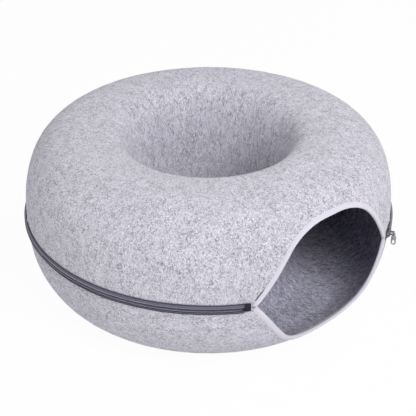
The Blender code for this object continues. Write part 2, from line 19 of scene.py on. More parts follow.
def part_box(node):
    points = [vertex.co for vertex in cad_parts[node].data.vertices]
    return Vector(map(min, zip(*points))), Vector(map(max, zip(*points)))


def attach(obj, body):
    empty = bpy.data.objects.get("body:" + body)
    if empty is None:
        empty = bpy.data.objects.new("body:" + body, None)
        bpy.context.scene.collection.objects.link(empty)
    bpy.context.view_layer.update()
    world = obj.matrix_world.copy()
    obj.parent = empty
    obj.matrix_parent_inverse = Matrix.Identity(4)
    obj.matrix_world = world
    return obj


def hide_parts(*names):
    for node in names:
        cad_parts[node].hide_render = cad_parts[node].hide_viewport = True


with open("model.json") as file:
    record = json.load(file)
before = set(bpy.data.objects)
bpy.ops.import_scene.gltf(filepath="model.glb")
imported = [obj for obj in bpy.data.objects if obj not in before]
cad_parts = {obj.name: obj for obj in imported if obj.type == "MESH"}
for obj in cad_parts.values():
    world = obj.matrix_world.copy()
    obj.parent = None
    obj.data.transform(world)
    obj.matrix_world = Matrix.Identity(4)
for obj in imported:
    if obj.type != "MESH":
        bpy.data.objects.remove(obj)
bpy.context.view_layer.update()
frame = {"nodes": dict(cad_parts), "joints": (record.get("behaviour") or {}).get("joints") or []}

log = logging.getLogger("donut_tunnel")

Colour = tuple[float, float, float]
Pair = tuple[float, float]
Value = Union[float, Sequence[float], "Wire"]
MM = 0.001
TINY = 1e-12
WHITE = (1.0, 1.0, 1.0)
ENTRY_AZIMUTH = -math.pi / 2
FINE_OUTLINE = 400
COARSE_OUTLINE = 70


class Side(Enum):
    """The two halves of the tunnel, and the way that each one lies from the zip plane."""

    UPPER = 1
    LOWER = -1

    @property
    def label(self) -> str:
        """The half's name, as the solids' names hold it."""
        return self.name.lower()

    def pick(self, pair: Sequence[Any]) -> Any:
        """The half's own one of two values, of which the upper half's comes first."""
        return pair[0 if self is Side.UPPER else 1]


class RingName(Enum):
    """The two zips."""

    OUTER = "outer"
    INNER = "inner"


# Shader maths


class Wire:
    """A node's output that takes part in sums, differences and products."""

    def __init__(self, bench: "ShaderBench", socket: bpy.types.NodeSocket) -> None:
        """Keeps the bench that adds the Math nodes, and the socket."""
        self.bench = bench
        self.socket = socket

    def _maths(self, operation: str, first: Value, second: Value) -> "Wire":
        """One Math node on two values."""
        return self.bench.node("ShaderNodeMath", {"operation": operation}, {0: first, 1: second})

    def __add__(self, other: Value) -> "Wire":
        """This plus a value."""
        return self._maths("ADD", self, other)

    def __radd__(self, other: Value) -> "Wire":
        """A value plus this."""
        return self._maths("ADD", other, self)

    def __sub__(self, other: Value) -> "Wire":
        """This less a value."""
        return self._maths("SUBTRACT", self, other)

    def __rsub__(self, other: Value) -> "Wire":
        """A value less this."""
        return self._maths("SUBTRACT", other, self)

    def __mul__(self, other: Value) -> "Wire":
        """This times a value."""
        return self._maths("MULTIPLY", self, other)

    def __rmul__(self, other: Value) -> "Wire":
        """A value times this."""
        return self._maths("MULTIPLY", other, self)

    def sine(self) -> "Wire":
        """The sine of this angle."""
        return self._maths("SINE", self, 0.0)

    def within(self, low: float, high: float) -> "Wire":
        """A smooth mask, from 0 where this is at low to 1 where it is at high.

        Args:
            low: The value that gives 0.
            high: The value that gives 1.

        Returns:
            The mask.
        """
        settings = {"interpolation_type": "SMOOTHSTEP", "clamp": True}
        return self.bench.node("ShaderNodeMapRange", settings, {0: self, 1: low, 2: high, 3: 0.0, 4: 1.0})


class ShaderBench:
    """One material's node tree, with the method that every node of it comes from."""

    def __init__(self, tree: bpy.types.NodeTree) -> None:
        """Keeps the tree."""
        self.tree = tree

    def node(
        self,
        kind: str,
        settings: Optional[dict] = None,
        sockets: Optional[dict] = None,
        output: Union[int, str] = 0,
    ) -> Wire:
        """Adds a node.

        Args:
            kind: The node's type.
            settings: Its own properties, set first.
            sockets: Values or wires, by the socket's name or number.
            output: The output that the wire starts from.

        Returns:
            The wire from that output.
        """
        made = self.tree.nodes.new(kind)
        for name, value in (settings or {}).items():
            setattr(made, name, value)
        for name, value in (sockets or {}).items():
            self.plug(made.inputs[name], value)
        return Wire(self, made.outputs[output])

    def plug(self, socket: bpy.types.NodeSocket, value: Value) -> None:
        """Links a wire to a socket, or sets the socket's own value.

        Args:
            socket: The socket.
            value: A wire, a number, or the numbers of a colour or vector.
        """
        if isinstance(value, Wire):
            self.tree.links.new(value.socket, socket)
            return
        if socket.type == "RGBA" and len(value) == 3:
            value = (*value, 1.0)
        socket.default_value = value

    def chart(self) -> Wire:
        """A piece's own chart, in metres."""
        return self.node("ShaderNodeUVMap", {"uv_map": "chart"})

    def place(self) -> Wire:
        """Where each point lies in its object."""
        return self.node("ShaderNodeTexCoord", {}, {}, "Object")

    def mix(self, factor: Value, first: Value, second: Value) -> Wire:
        """Blends two colours.

        Args:
            factor: The share of the second colour.
            first: The colour at 0.
            second: The colour at 1.

        Returns:
            The blended colour.
        """
        settings = {"data_type": "RGBA", "clamp_factor": True}
        return self.node("ShaderNodeMix", settings, {0: factor, 6: first, 7: second}, 2)

    def stretched(self, place: Wire, turn: Sequence[float], scale: Sequence[float]) -> Wire:
        """Turns a place about the three axes and then scales it.

        Args:
            place: The vector to change.
            turn: Euler angles in radians.
            scale: Factors along the turned axes.

        Returns:
            The new vector.
        """
        sockets = {"Vector": place, "Rotation": turn}
        turned = self.node("ShaderNodeVectorRotate", {"rotation_type": "EULER_XYZ"}, sockets)
        return self.node("ShaderNodeVectorMath", {"operation": "MULTIPLY"}, {0: turned, 1: scale})

    def noise(self, place: Wire, per_metre: float, detail: float = 2.0, roughness: float = 0.5) -> Wire:
        """Soft noise from 0 to 1.

        Args:
            place: The vector that it is read at, in metres.
            per_metre: How many swells a metre holds.
            detail: How many finer layers it has.
            roughness: How strong the finer layers are.

        Returns:
            The noise's value.
        """
        sockets = {"Vector": place, "Scale": per_metre, "Detail": detail, "Roughness": roughness}
        return self.node("ShaderNodeTexNoise", {}, sockets)

    def axis(self, place: Wire, name: str) -> Wire:
        """One of a vector's three numbers, by its letter."""
        return self.node("ShaderNodeSeparateXYZ", {}, {0: place}, name)

    def bump(self, height: Value, depth: float, strength: float = 1.0) -> Wire:
        """A normal from a height.

        Args:
            height: The height, from 0 to 1.
            depth: What a height of 1 stands for, in metres.
            strength: How much of the bump shows.

        Returns:
            The normal.
        """
        return self.node("ShaderNodeBump", {}, {"Height": height, "Distance": depth, "Strength": strength})


@dataclass(frozen=True)
class Finish:
    """What a surface is made of. A finish of its own kind paints more onto it."""

    name: str
    colour: Colour
    roughness: float
    metallic: float = 0.0
    specular: float = 0.5
    sheen: float = 0.0
    sheen_roughness: float = 0.6

    def shaded(self, factor: float) -> Colour:
        """The finish's colour times a factor."""
        return tuple(min(1.0, c * factor) for c in self.colour)

    def material(self) -> bpy.types.Material:
        """The finish's material, made once.

        Returns:
            The material.
        """
        made = bpy.data.materials.get(self.name)
        if made:
            return made
        made = bpy.data.materials.new(self.name)
        made.use_nodes = True
        shader = made.node_tree.nodes["Principled BSDF"]
        even = {
            "Base Color": self.colour,
            "Roughness": self.roughness,
            "Metallic": self.metallic,
            "Specular IOR Level": self.specular,
            "Sheen Weight": self.sheen,
            "Sheen Roughness": self.sheen_roughness,
        }
        bench = ShaderBench(made.node_tree)
        for name, value in even.items():
            bench.plug(shader.inputs[name], value)
        self.paint(bench, shader.inputs)
        return made

    def paint(self, bench: ShaderBench, inputs: bpy.types.NodeInputs) -> None:
        """Adds what varies over the surface.

        Args:
            bench: Makes the nodes.
            inputs: The Principled shader's sockets.
        """
        raise NotImplementedError


@dataclass(frozen=True)
class NeedleFelt(Finish):
    """Marled needle felt. It reads where each point lay on the flat sheet, before that was pressed."""

    dark_fibre: Colour = (0.15, 0.145, 0.175)
    pale_fibre: Colour = (0.90, 0.88, 0.97)
    marl: float = 0.76
    pale_marl_share: float = 0.5
    dark_level: Pair = (0.5, 0.035)
    pale_level: Pair = (0.40, 0.04)
    mottle: float = 0.31
    bright_share: float = 0.6
    swells: float = 720.0
    swell_span: Pair = (0.36, 0.60)
    curl: float = 390.0
    curl_growth: float = 0.17
    fibre_turns: tuple = ((0.2, 0.1, 0.3), (0.9, 0.4, 1.4), (0.3, 1.1, 2.4), (1.3, 0.7, 0.8))
    fibre_stretch: tuple = (1.0, 0.34, 0.6)
    blotches: float = 42.0
    blotch_span: Pair = (0.35, 0.65)
    blotch_depth: float = 0.22
    blotch_shade: float = 0.7
    clumps: float = 130.0
    clump_span: Pair = (0.36, 0.62)
    loose_share: float = 0.36
    clumped_share: float = 0.6
    nap: float = 2600.0
    relief: float = 0.4 * MM
    relief_share: float = 0.2

    def paint(self, bench: ShaderBench, inputs: bpy.types.NodeInputs) -> None:
        """Paints the mottled ground, dark and pale fibres, and the nap.

        Args:
            bench: Makes the nodes.
            inputs: The Principled shader's sockets.
        """
        lay = bench.node("ShaderNodeAttribute", {"attribute_name": "felt_lay"}, {}, "Vector")
        grain = bench.noise(lay, self.swells, detail=3.0, roughness=0.7)
        dim, bright = self.shaded(1.0 - self.mottle), self.shaded(1.0 + self.mottle * self.bright_share)
        ground = bench.mix(grain.within(*self.swell_span), dim, bright)
        blotch = bench.noise(lay, self.blotches).within(*self.blotch_span)
        colour = bench.mix(blotch * self.blotch_depth, ground, self.shaded(self.blotch_shade))
        clump = bench.noise(lay, self.clumps, roughness=0.6).within(*self.clump_span)
        gathered = self.loose_share + self.clumped_share * clump
        heights = grain
        for index, turn in enumerate(self.fibre_turns):
            place = bench.stretched(lay, turn, self.fibre_stretch)
            swirl = bench.noise(place, self.curl * (1.0 + self.curl_growth * index), detail=1.0)
            dark = self._hair(swirl, *self.dark_level)
            pale = self._hair(swirl, *self.pale_level)
            colour = bench.mix(dark * gathered * self.marl, colour, self.dark_fibre)
            colour = bench.mix(pale * self.marl * self.pale_marl_share, colour, self.pale_fibre)
            heights = heights + dark + pale
        bench.plug(inputs["Base Color"], colour)
        heights = heights + bench.noise(lay, self.nap, roughness=0.7)
        bench.plug(inputs["Normal"], bench.bump(self.relief_share * heights, self.relief, strength=0.5))

    @staticmethod
    def _hair(swirl: Wire, level: float, width: float) -> Wire:
        """A mask of thin curling lines, which follow one level of a noise.

        Args:
            swirl: The noise.
            level: The level that the lines follow.
            width: How far from the level a line fades out.

        Returns:
            The mask.
        """
        return swirl.within(level - width, level) * (1.0 - swirl.within(level, level + width))


@dataclass(frozen=True)
class WovenTape(Finish):
    """A narrow woven tape, whose chart gives metres along it and metres in from its sewn edge."""

    pick: float = 0.5 * MM
    # A dark band along the sewn edge: painted shadow where the tape's edge meets the felt.
    shadow_band: float = 0.0
    shadow_band_fade: Pair = (0.8, 1.2)
    shadow_band_depth: float = 0.8
    shadow_band_shade: float = 0.22
    relief: float = 0.08 * MM
    contrast: float = 0.25
    yarns: float = 1500.0
    yarn_stretch: tuple = (0.12, 1.0, 1.0)
    shade_shares: Pair = (0.6, 0.4)
    shade_span: Pair = (0.2, 0.8)
    height_shares: Pair = (0.7, 0.3)
    wear: float = 60.0
    wear_span: Pair = (0.35, 0.7)
    wear_depth: float = 0.25

    def paint(self, bench: ShaderBench, inputs: bpy.types.NodeInputs) -> None:
        """Paints a plain weave of crossing ribs, with painted shade in its hollows, yarns that differ a
        little, and a painted shadow along the sewn edge where one is set.

        Args:
            bench: Makes the nodes.
            inputs: The Principled shader's sockets.
        """
        chart = bench.chart()
        along, across = (bench.axis(chart, name) for name in "XY")
        per_metre = math.pi / self.pick
        weave = 0.5 + 0.5 * (along * per_metre).sine() * (across * per_metre).sine()
        drawn = bench.stretched(chart, (0.0, 0.0, 0.0), self.yarn_stretch)
        yarn = bench.noise(drawn, self.yarns, detail=1.0)
        # Painted shade: the weave's hollows are darker and its ribs paler, following the bump. The yarns'
        # share is real variation.
        shade = self.shade_shares[0] * weave + self.shade_shares[1] * yarn
        dark, pale = self.shaded(1.0 - self.contrast), self.shaded(1.0 + self.contrast)
        colour = bench.mix(shade.within(*self.shade_span), dark, pale)
        worn = bench.noise(chart, self.wear).within(*self.wear_span)
        colour = bench.mix(worn * self.wear_depth, colour, dark)
        # Painted shadow: darkens a band along the sewn edge, where the tape meets the felt.
        if self.shadow_band:
            near, far = (self.shadow_band * share for share in self.shadow_band_fade)
            edge = 1.0 - across.within(near, far)
            colour = bench.mix(edge * self.shadow_band_depth, colour, self.shaded(self.shadow_band_shade))
        bench.plug(inputs["Base Color"], colour)
        height = self.height_shares[0] * weave + self.height_shares[1] * yarn
        bench.plug(inputs["Normal"], bench.bump(height, self.relief, strength=0.8))


@dataclass(frozen=True)
class PlatedMetal(Finish):
    """Plated zinc with fine scratches and a duller bloom."""

    blooms: float = 240.0
    bloom_span: Pair = (0.4, 0.75)
    bloom_depth: float = 0.6
    bloom_shade: float = 0.72
    bloom_roughness: float = 0.16
    polish: float = 0.1
    scratches: float = 2600.0
    scratch_roughness: float = 0.1
    scratch_turn: tuple = (0.4, 0.2, 0.7)
    scratch_stretch: tuple = (1.0, 0.04, 1.0)
    relief: float = 0.02 * MM

    def paint(self, bench: ShaderBench, inputs: bpy.types.NodeInputs) -> None:
        """Varies the roughness and the shine of the plating.

        Args:
            bench: Makes the nodes.
            inputs: The Principled shader's sockets.
        """
        place = bench.place()
        bloom = bench.noise(place, self.blooms, detail=3.0, roughness=0.6)
        drawn = bench.stretched(place, self.scratch_turn, self.scratch_stretch)
        scratch = bench.noise(drawn, self.scratches, detail=1.0)
        uneven = self.bloom_roughness * bloom + self.scratch_roughness * scratch
        bench.plug(inputs["Roughness"], self.roughness + uneven - self.polish)
        dulled = bloom.within(*self.bloom_span) * self.bloom_depth
        bench.plug(inputs["Base Color"], bench.mix(dulled, self.colour, self.shaded(self.bloom_shade)))
        bench.plug(inputs["Normal"], bench.bump(scratch, self.relief, strength=0.3))


@dataclass(frozen=True)
class MouldedNylon(Finish):
    """Moulded or drawn nylon with a slightly uneven skin."""

    dapples: float = 700.0
    dapple_span: Pair = (0.35, 0.7)
    dapple_shade: float = 1.35
    dapple_roughness: float = 0.2
    polish: float = 0.1
    relief: float = 0.03 * MM

    def paint(self, bench: ShaderBench, inputs: bpy.types.NodeInputs) -> None:
        """Varies the roughness and the colour a little.

        Args:
            bench: Makes the nodes.
            inputs: The Principled shader's sockets.
        """
        skin = bench.noise(bench.place(), self.dapples, detail=3.0, roughness=0.6)
        bench.plug(inputs["Roughness"], self.roughness + self.dapple_roughness * skin - self.polish)
        dapple = skin.within(*self.dapple_span)
        bench.plug(inputs["Base Color"], bench.mix(dapple, self.colour, self.shaded(self.dapple_shade)))
        bench.plug(inputs["Normal"], bench.bump(skin, self.relief, strength=0.5))


@dataclass(frozen=True)
class SpunThread(Finish):
    """Sewing thread with a visible twist, whose chart gives metres along and round it."""

    twist: float = 0.7 * MM
    groove_span: Pair = (0.1, 0.7)
    groove_shade: float = 0.6
    relief: float = 0.06 * MM

    def paint(self, bench: ShaderBench, inputs: bpy.types.NodeInputs) -> None:
        """Paints the plies as slanting bands, with painted shade in the grooves between them.

        Args:
            bench: Makes the nodes.
            inputs: The Principled shader's sockets.
        """
        chart = bench.chart()
        slant = (bench.axis(chart, "X") + bench.axis(chart, "Y")) * (2.0 * math.pi / self.twist)
        ply = 0.5 + 0.5 * slant.sine()
        # Painted shade: the grooves between the plies are darker.
        colour = bench.mix(ply.within(*self.groove_span), self.shaded(self.groove_shade), self.colour)
        bench.plug(inputs["Base Color"], colour)
        bench.plug(inputs["Normal"], bench.bump(ply, self.relief, strength=0.7))


FELT = NeedleFelt("felt_outside", (0.65, 0.63, 0.72), 0.95, specular=0.15, sheen=0.2)
# The inside felt is the outer felt painted darker and bluer, with a stronger marl: painted shade over the
# whole inner face of the tunnel.
FELT_INSIDE_SHADED = NeedleFelt(
    "felt_inside",
    (0.43, 0.425, 0.55),
    0.95,
    specular=0.15,
    sheen=0.15,
    marl=0.85,
    mottle=0.42,
    swells=600.0,
    curl=330.0,
)
BINDING = WovenTape("binding_tape", (0.71, 0.68, 0.77), 0.9, specular=0.2, sheen=0.15, contrast=0.07)
# Its band along the sewn edge is painted shadow where the tape meets the felt.
ZIP_TAPE = WovenTape(
    "woven_zip_tape", (0.175, 0.175, 0.25), 0.8, specular=0.25, sheen=0.1, pick=0.45 * MM, shadow_band=1.4 * MM
)
# The tail is the zip tape's end, painted near black and far darker than the zip tape: partly the real tape,
# partly painted shade in the crease along the binding's outer edge.
TAIL_TAPE_SHADED = WovenTape("tail_tape", (0.06, 0.058, 0.075), 0.8, specular=0.2, pick=0.45 * MM)
NYLON = MouldedNylon("coil_nylon", (0.38, 0.37, 0.45), 0.36)
BLACK_NYLON = MouldedNylon("black_nylon", (0.012, 0.011, 0.02), 0.55, specular=0.2)
SLIDER_PLATING = PlatedMetal("slider_plating", (0.15, 0.15, 0.18), 0.28, metallic=1.0)
PULL_PLATING = PlatedMetal("pull_plating", (0.36, 0.36, 0.39), 0.28, metallic=1.0)
DARK_THREAD = SpunThread("dark_thread", (0.018, 0.018, 0.027), 0.75, specular=0.25)
PALE_THREAD = SpunThread("pale_thread", (0.62, 0.61, 0.65), 0.75, specular=0.3)


# Meshes


class Workpiece:
    """Collects closed skins and turns them into one object."""

    def __init__(self, name: str) -> None:
        """Starts an empty piece.

        Args:
            name: The object's name.
        """
        self.name = name
        self.points: list[np.ndarray] = []
        self.faces: list[tuple[int, ...]] = []
        self.charts: list[np.ndarray] = []
        self.slots: list[int] = []
        self.lay: list[np.ndarray] = []
        self.count = 0

    def skin(
        self,
        loops: np.ndarray,
        ring: bool = False,
        chart: Optional[np.ndarray] = None,
        lay: Optional[np.ndarray] = None,
        slot_of_row: Optional[np.ndarray] = None,
    ) -> None:
        """Adds a closed skin through a row of closed loops.

        Args:
            loops: Points as an array of loops, points round each loop, and three numbers.
            ring: Whether the last loop meets the first. Otherwise both ends are capped.
            chart: Two numbers for each corner, with one more column than a loop has points.
            lay: Three numbers for each point, where it lay on the flat sheet.
            slot_of_row: The material slot of each strip that runs from loop to loop.
        """
        rows, around = loops.shape[:2]
        spans = rows if ring else rows - 1
        i, j = np.meshgrid(np.arange(spans), np.arange(around), indexing="ij")
        steps = [(i, j), (i + 1, j), (i + 1, j + 1), (i, j + 1)]
        quads = np.stack([(a % rows) * around + b % around for a, b in steps], -1).reshape(-1, 4)
        corners = np.zeros((len(quads), 4, 2))
        if chart is not None:
            corners = np.stack([chart[a, b] for a, b in steps], 2).reshape(-1, 4, 2)
        flat = loops.reshape(-1, 3)
        inward = self._volume(flat, quads) < 0
        if inward:
            quads, corners = quads[:, ::-1], corners[:, ::-1]
        row_slots = np.zeros(around, int) if slot_of_row is None else slot_of_row
        self.slots += np.tile(row_slots, spans).tolist()
        self.points.append(flat)
        self.faces += (quads + self.count).tolist()
        self.charts.append(corners.reshape(-1, 2))
        self.lay.append(np.zeros_like(flat) if lay is None else lay.reshape(-1, 3))
        if not ring:
            self._cap(range(around), not inward)
            self._cap(range((rows - 1) * around, rows * around), inward)
        self.count += len(flat)

    def _cap(self, ring: Iterable[int], flip: bool) -> None:
        """Closes an end of a skin with one flat face.

        Args:
            ring: The end loop's points, counted from the skin's first.
            flip: Whether the face looks the other way.
        """
        indices = [k + self.count for k in ring]
        self.faces.append(tuple(indices[::-1] if flip else indices))
        self.charts.append(np.zeros((len(indices), 2)))
        self.slots.append(0)

    @staticmethod
    def _volume(points: np.ndarray, quads: np.ndarray) -> float:
        """The volume that a skin's quads enclose, seen from its own middle, without the scale.

        Args:
            points: The skin's points.
            quads: Four point numbers for each quad.

        Returns:
            A number that is negative where the quads look inward.
        """
        centred = points - points.mean(axis=0)
        a, b, c, d = (centred[quads[:, k]] for k in range(4))
        first = np.einsum("ij,ij->i", a, np.cross(b, c))
        second = np.einsum("ij,ij->i", a, np.cross(c, d))
        return float(first.sum() + second.sum())

    def finish(
        self,
        body: str,
        slot: str,
        finishes: Sequence[Finish],
        replaces: Sequence[str] = (),
        sharp: float = math.radians(40),
    ) -> bpy.types.Object:
        """Makes the object, and gives it its body, finish and the solids that it stands for.

        Args:
            body: The body that it rides on.
            slot: The record's material slot; not used.
            finishes: One finish for each material slot of the mesh.
            replaces: Solids that it stands for.
            sharp: The angle above which an edge stays sharp.

        Returns:
            The object.
        """
        mesh = bpy.data.meshes.new(self.name)
        mesh.from_pydata(np.concatenate(self.points).tolist(), [], self.faces)
        chart = mesh.uv_layers.new(name="chart")
        chart.data.foreach_set("uv", np.concatenate(self.charts).astype(np.float32).ravel())
        lay = mesh.attributes.new("felt_lay", "FLOAT_VECTOR", "POINT")
        lay.data.foreach_set("vector", np.concatenate(self.lay).astype(np.float32).ravel())
        for finish in finishes:
            mesh.materials.append(finish.material())
        mesh.polygons.foreach_set("material_index", np.array(self.slots, dtype=np.int32))
        mesh.update()
        mesh.shade_smooth()
        mesh.set_sharp_from_angle(angle=sharp)
        made = bpy.data.objects.new(self.name, mesh)
        bpy.context.scene.collection.objects.link(made)
        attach(made, body)
        if replaces:
            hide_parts(*replaces)
        log.info("%s: %d faces on %s", self.name, len(self.faces), body)
        return made


def unit(vectors: np.ndarray) -> np.ndarray:
    """Vectors scaled to a length of 1."""
    return vectors / np.linalg.norm(vectors, axis=-1, keepdims=True)


def run_along(points: np.ndarray) -> np.ndarray:
    """How far each point of a line lies from the first one, along the line."""
    return np.concatenate([[0.0], np.cumsum(np.linalg.norm(np.diff(points, axis=0), axis=1))])


def read_at(where: np.ndarray, run: np.ndarray, rows: np.ndarray) -> np.ndarray:
    """Rows of numbers that are known along a line, read at other distances along it.

    Args:
        where: The distances to read at.
        run: The distances of the known rows.
        rows: The known rows.

    Returns:
        One row for each distance.
    """
    return np.stack([np.interp(where, run, column) for column in rows.T], -1)


def outward(azimuth: np.ndarray) -> np.ndarray:
    """Level directions away from the ring's axis."""
    return np.stack([np.cos(azimuth), np.sin(azimuth), np.zeros_like(azimuth)], -1)


def grid_chart(along: np.ndarray, around: np.ndarray) -> np.ndarray:
    """A chart from the distances of its rows and of its columns."""
    return np.stack(np.meshgrid(along, around, indexing="ij"), -1)


def tube(path: np.ndarray, up: np.ndarray, radius: float, sides: int) -> np.ndarray:
    """Round loops along a path.

    Args:
        path: The centre line's points.
        up: A direction for each point, or one for all, that isn't along the path.
        radius: The tube's radius.
        sides: How many points go round it.

    Returns:
        The loops.
    """
    along = unit(np.gradient(path, axis=0))
    side = unit(np.cross(along, np.broadcast_to(up, path.shape)))
    over = np.cross(side, along)
    angles = 2 * np.pi * np.arange(sides) / sides
    ring = np.cos(angles)[None, :, None] * side[:, None] + np.sin(angles)[None, :, None] * over[:, None]
    return path[:, None] + ring * radius


def tube_chart(path: np.ndarray, radius: float, sides: int) -> np.ndarray:
    """Metres along and round a tube, for its chart.

    Args:
        path: The centre line's points.
        radius: The tube's radius.
        sides: How many points go round it.

    Returns:
        The chart.
    """
    return grid_chart(run_along(path), 2 * np.pi * radius * np.arange(sides + 1) / sides)


def curve_through(points: Sequence[np.ndarray], steps: int) -> np.ndarray:
    """A smooth curve through points, whose first and last one only steer its ends.

    Args:
        points: The points.
        steps: How many steps each span gets.

    Returns:
        The curve's points, from the second of the given ones to the last but one.
    """
    t = np.linspace(0.0, 1.0, steps, endpoint=False)[:, None]
    spans = [
        b + t * ((c - a) + t * ((2 * a - 5 * b + 4 * c - d) + t * (3 * b - 3 * c + d - a))) / 2
        for a, b, c, d in zip(points, points[1:], points[2:], points[3:])
    ]
    return np.concatenate([*spans, points[-2][None]])


@dataclass(frozen=True)
class LockStitch:
    """A row of lock stitches, each a short thread that dips into the cloth at both ends."""

    pitch: float
    thread: float
    shares: tuple = (0.08, 0.16, 0.3, 0.5, 0.7, 0.84, 0.92)
    rise_shares: tuple = (-1.6, -0.5, 0.3, 0.55, 0.3, -0.5, -1.6)
    sides: int = 6

    def sew(self, piece: Workpiece, seam: np.ndarray, over: np.ndarray) -> None:
        """Adds the stitches along a seam.

        Args:
            piece: The thread's piece.
            seam: Points along the seam, close together.
            over: The direction out of the cloth at each point.
        """
        run = run_along(seam)
        count = int(run[-1] / self.pitch)
        start = (run[-1] - count * self.pitch) / 2
        rise = np.array(self.rise_shares)[:, None] * self.thread
        for k in range(count):
            at = start + self.pitch * (k + np.array(self.shares))
            out = unit(read_at(at, run, over))
            path = read_at(at, run, seam) + out * rise
            chart = tube_chart(path, self.thread, self.sides)
            piece.skin(tube(path, out, self.thread, self.sides), chart=chart)


# The felt's form


@dataclass(frozen=True)
class FeltForm:
    """The smooth faces of both halves, from the same sizes as the solids have."""

    axis: Pair
    zip_height: float
    rim_radius: float
    top: float
    crest_radius: float = 0.161
    well_radius: float = 0.102
    floor_press: float = 0.002
    seam_rise: float = 0.005
    thickness: float = 0.005
    rim_setback: float = 0.0047
    seam_setback: float = 0.00015
    lip_thickness: float = 0.0022
    lip_zone: float = 0.013
    entry_width: float = 0.2258
    entry_rise: float = 0.088
    rim_powers: Pair = (2.7, 2.3)
    well_powers: Pair = (3.6, 3.0)
    first_steps: int = 1500
    even_steps: int = 2400
    least_step: float = 1e-7
    outline_steps: int = 60
    outline_shares: tuple = (
        (0.0, 1.0),
        (0.16, 0.994),
        (0.31, 0.96),
        (0.46, 0.883),
        (0.58, 0.765),
        (0.69, 0.58),
        (0.80, 0.365),
        (0.90, 0.175),
        (1.0, 0.0),
    )

    @property
    def entry_half_angle(self) -> float:
        """Half the angle that the entry takes of the ring."""
        return math.asin(self.entry_width / 2 / self.rim_radius)

    def rise(self, side: Side) -> float:
        """How far a half's crest lies from the zip plane, before the floor presses it."""
        return side.pick((self.top - self.zip_height, self.zip_height + self.floor_press))

    def pressed(self, distance: np.ndarray) -> np.ndarray:
        """The felt's thickness at a distance from the entry's edge, where the binding presses it thin."""
        share = np.clip(distance / self.lip_zone, 0.0, 1.0)
        return self.lip_thickness + (self.thickness - self.lip_thickness) * share * share * (3 - 2 * share)

    def point(self, azimuth: np.ndarray, radius: np.ndarray, height: np.ndarray) -> np.ndarray:
        """Points round the ring's axis.

        Args:
            azimuth: Angles round the axis.
            radius: Distances from the axis.
            height: Heights over the floor.

        Returns:
            The points.
        """
        x = self.axis[0] + radius * np.cos(azimuth)
        y = self.axis[1] + radius * np.sin(azimuth)
        return np.stack(np.broadcast_arrays(x, y, height), -1)

    def section(self, side: Side) -> np.ndarray:
        """A half's outer face from the rim over the crest to the well's seam.

        Args:
            side: The half.

        Returns:
            Rows of arc length, radius, height, and the normal's two parts.
        """
        sign, rise = side.value, self.rise(side)
        rim_power, well_power = side.pick(self.rim_powers), side.pick(self.well_powers)
        t = np.linspace(0.0, 1.0, self.first_steps) ** 2 * np.pi / 2
        cos, sin = np.maximum(np.cos(t), 0.0), np.sin(t)
        rim_r = self.crest_radius + (self.rim_radius - self.crest_radius) * cos ** (2 / rim_power)
        rim_z = self.zip_height + sign * rise * sin ** (2 / rim_power)
        seam = self.zip_height + self.seam_rise
        well_r = self.crest_radius - (self.crest_radius - self.well_radius) * cos ** (2 / well_power)
        well_z = seam + sign * (rise - sign * self.seam_rise) * sin ** (2 / well_power)
        keep = sign * (well_z - seam) >= self.seam_setback
        rim = np.stack([rim_r[:-1], rim_z[:-1]], -1)
        well = np.stack([well_r[keep], well_z[keep]], -1)[::-1]
        line = np.concatenate([rim, well])
        fresh = np.diff(run_along(line), prepend=-1.0) > self.least_step
        line = line[fresh]
        run = run_along(line)
        even = np.linspace(0.0, run[-1], self.even_steps)
        line = read_at(even, run, line)
        out = sign * unit(np.gradient(line, axis=0)[:, ::-1] * (1, -1))
        return np.column_stack([even, line, out])

    def outline(self, count: int) -> np.ndarray:
        """The entry's edge in the upper half, from its middle to a corner.

        Args:
            count: How many even steps it has.

        Returns:
            Angles from the entry's middle, and heights over the zip plane.
        """
        reach = self.entry_half_angle * self.rim_radius
        points = [np.array((a * reach, u * self.entry_rise)) for a, u in self.outline_shares]
        before, past = points[1] * (-1, 1), 2 * points[-1] - points[-2]
        dense = curve_through([before, *points, past], self.outline_steps)
        run = run_along(dense)
        even = np.linspace(0.0, run[-1], count + 1)
        return read_at(even, run, dense) / (self.rim_radius, 1.0)

    def whole_outline(self, count: int) -> np.ndarray:
        """The same edge from corner to corner, with that many steps on each side of its middle."""
        half = self.outline(count)
        return np.concatenate([half[::-1] * (-1, 1), half[1:]])

    def face(self, side: Side, angle: np.ndarray, height: np.ndarray) -> tuple[np.ndarray, np.ndarray]:
        """The outer face between rim and crest.

        Args:
            side: The half.
            angle: Angles from the entry's middle.
            height: Distances from the zip plane, which are never negative.

        Returns:
            The points, and their normals.
        """
        section = self.section(side)
        rim = section[: int(np.argmax(section[:, 1] < self.crest_radius))]
        offset = side.value * (rim[:, 2] - self.zip_height)
        order = np.argsort(offset)
        radius, out, up = (np.interp(height, offset[order], rim[order, k]) for k in (1, 3, 4))
        azimuth = ENTRY_AZIMUTH + angle
        place = self.point(azimuth, radius, self.zip_height + side.value * height)
        normal = np.stack([out * np.cos(azimuth), out * np.sin(azimuth), up], -1)
        return place, unit(normal)


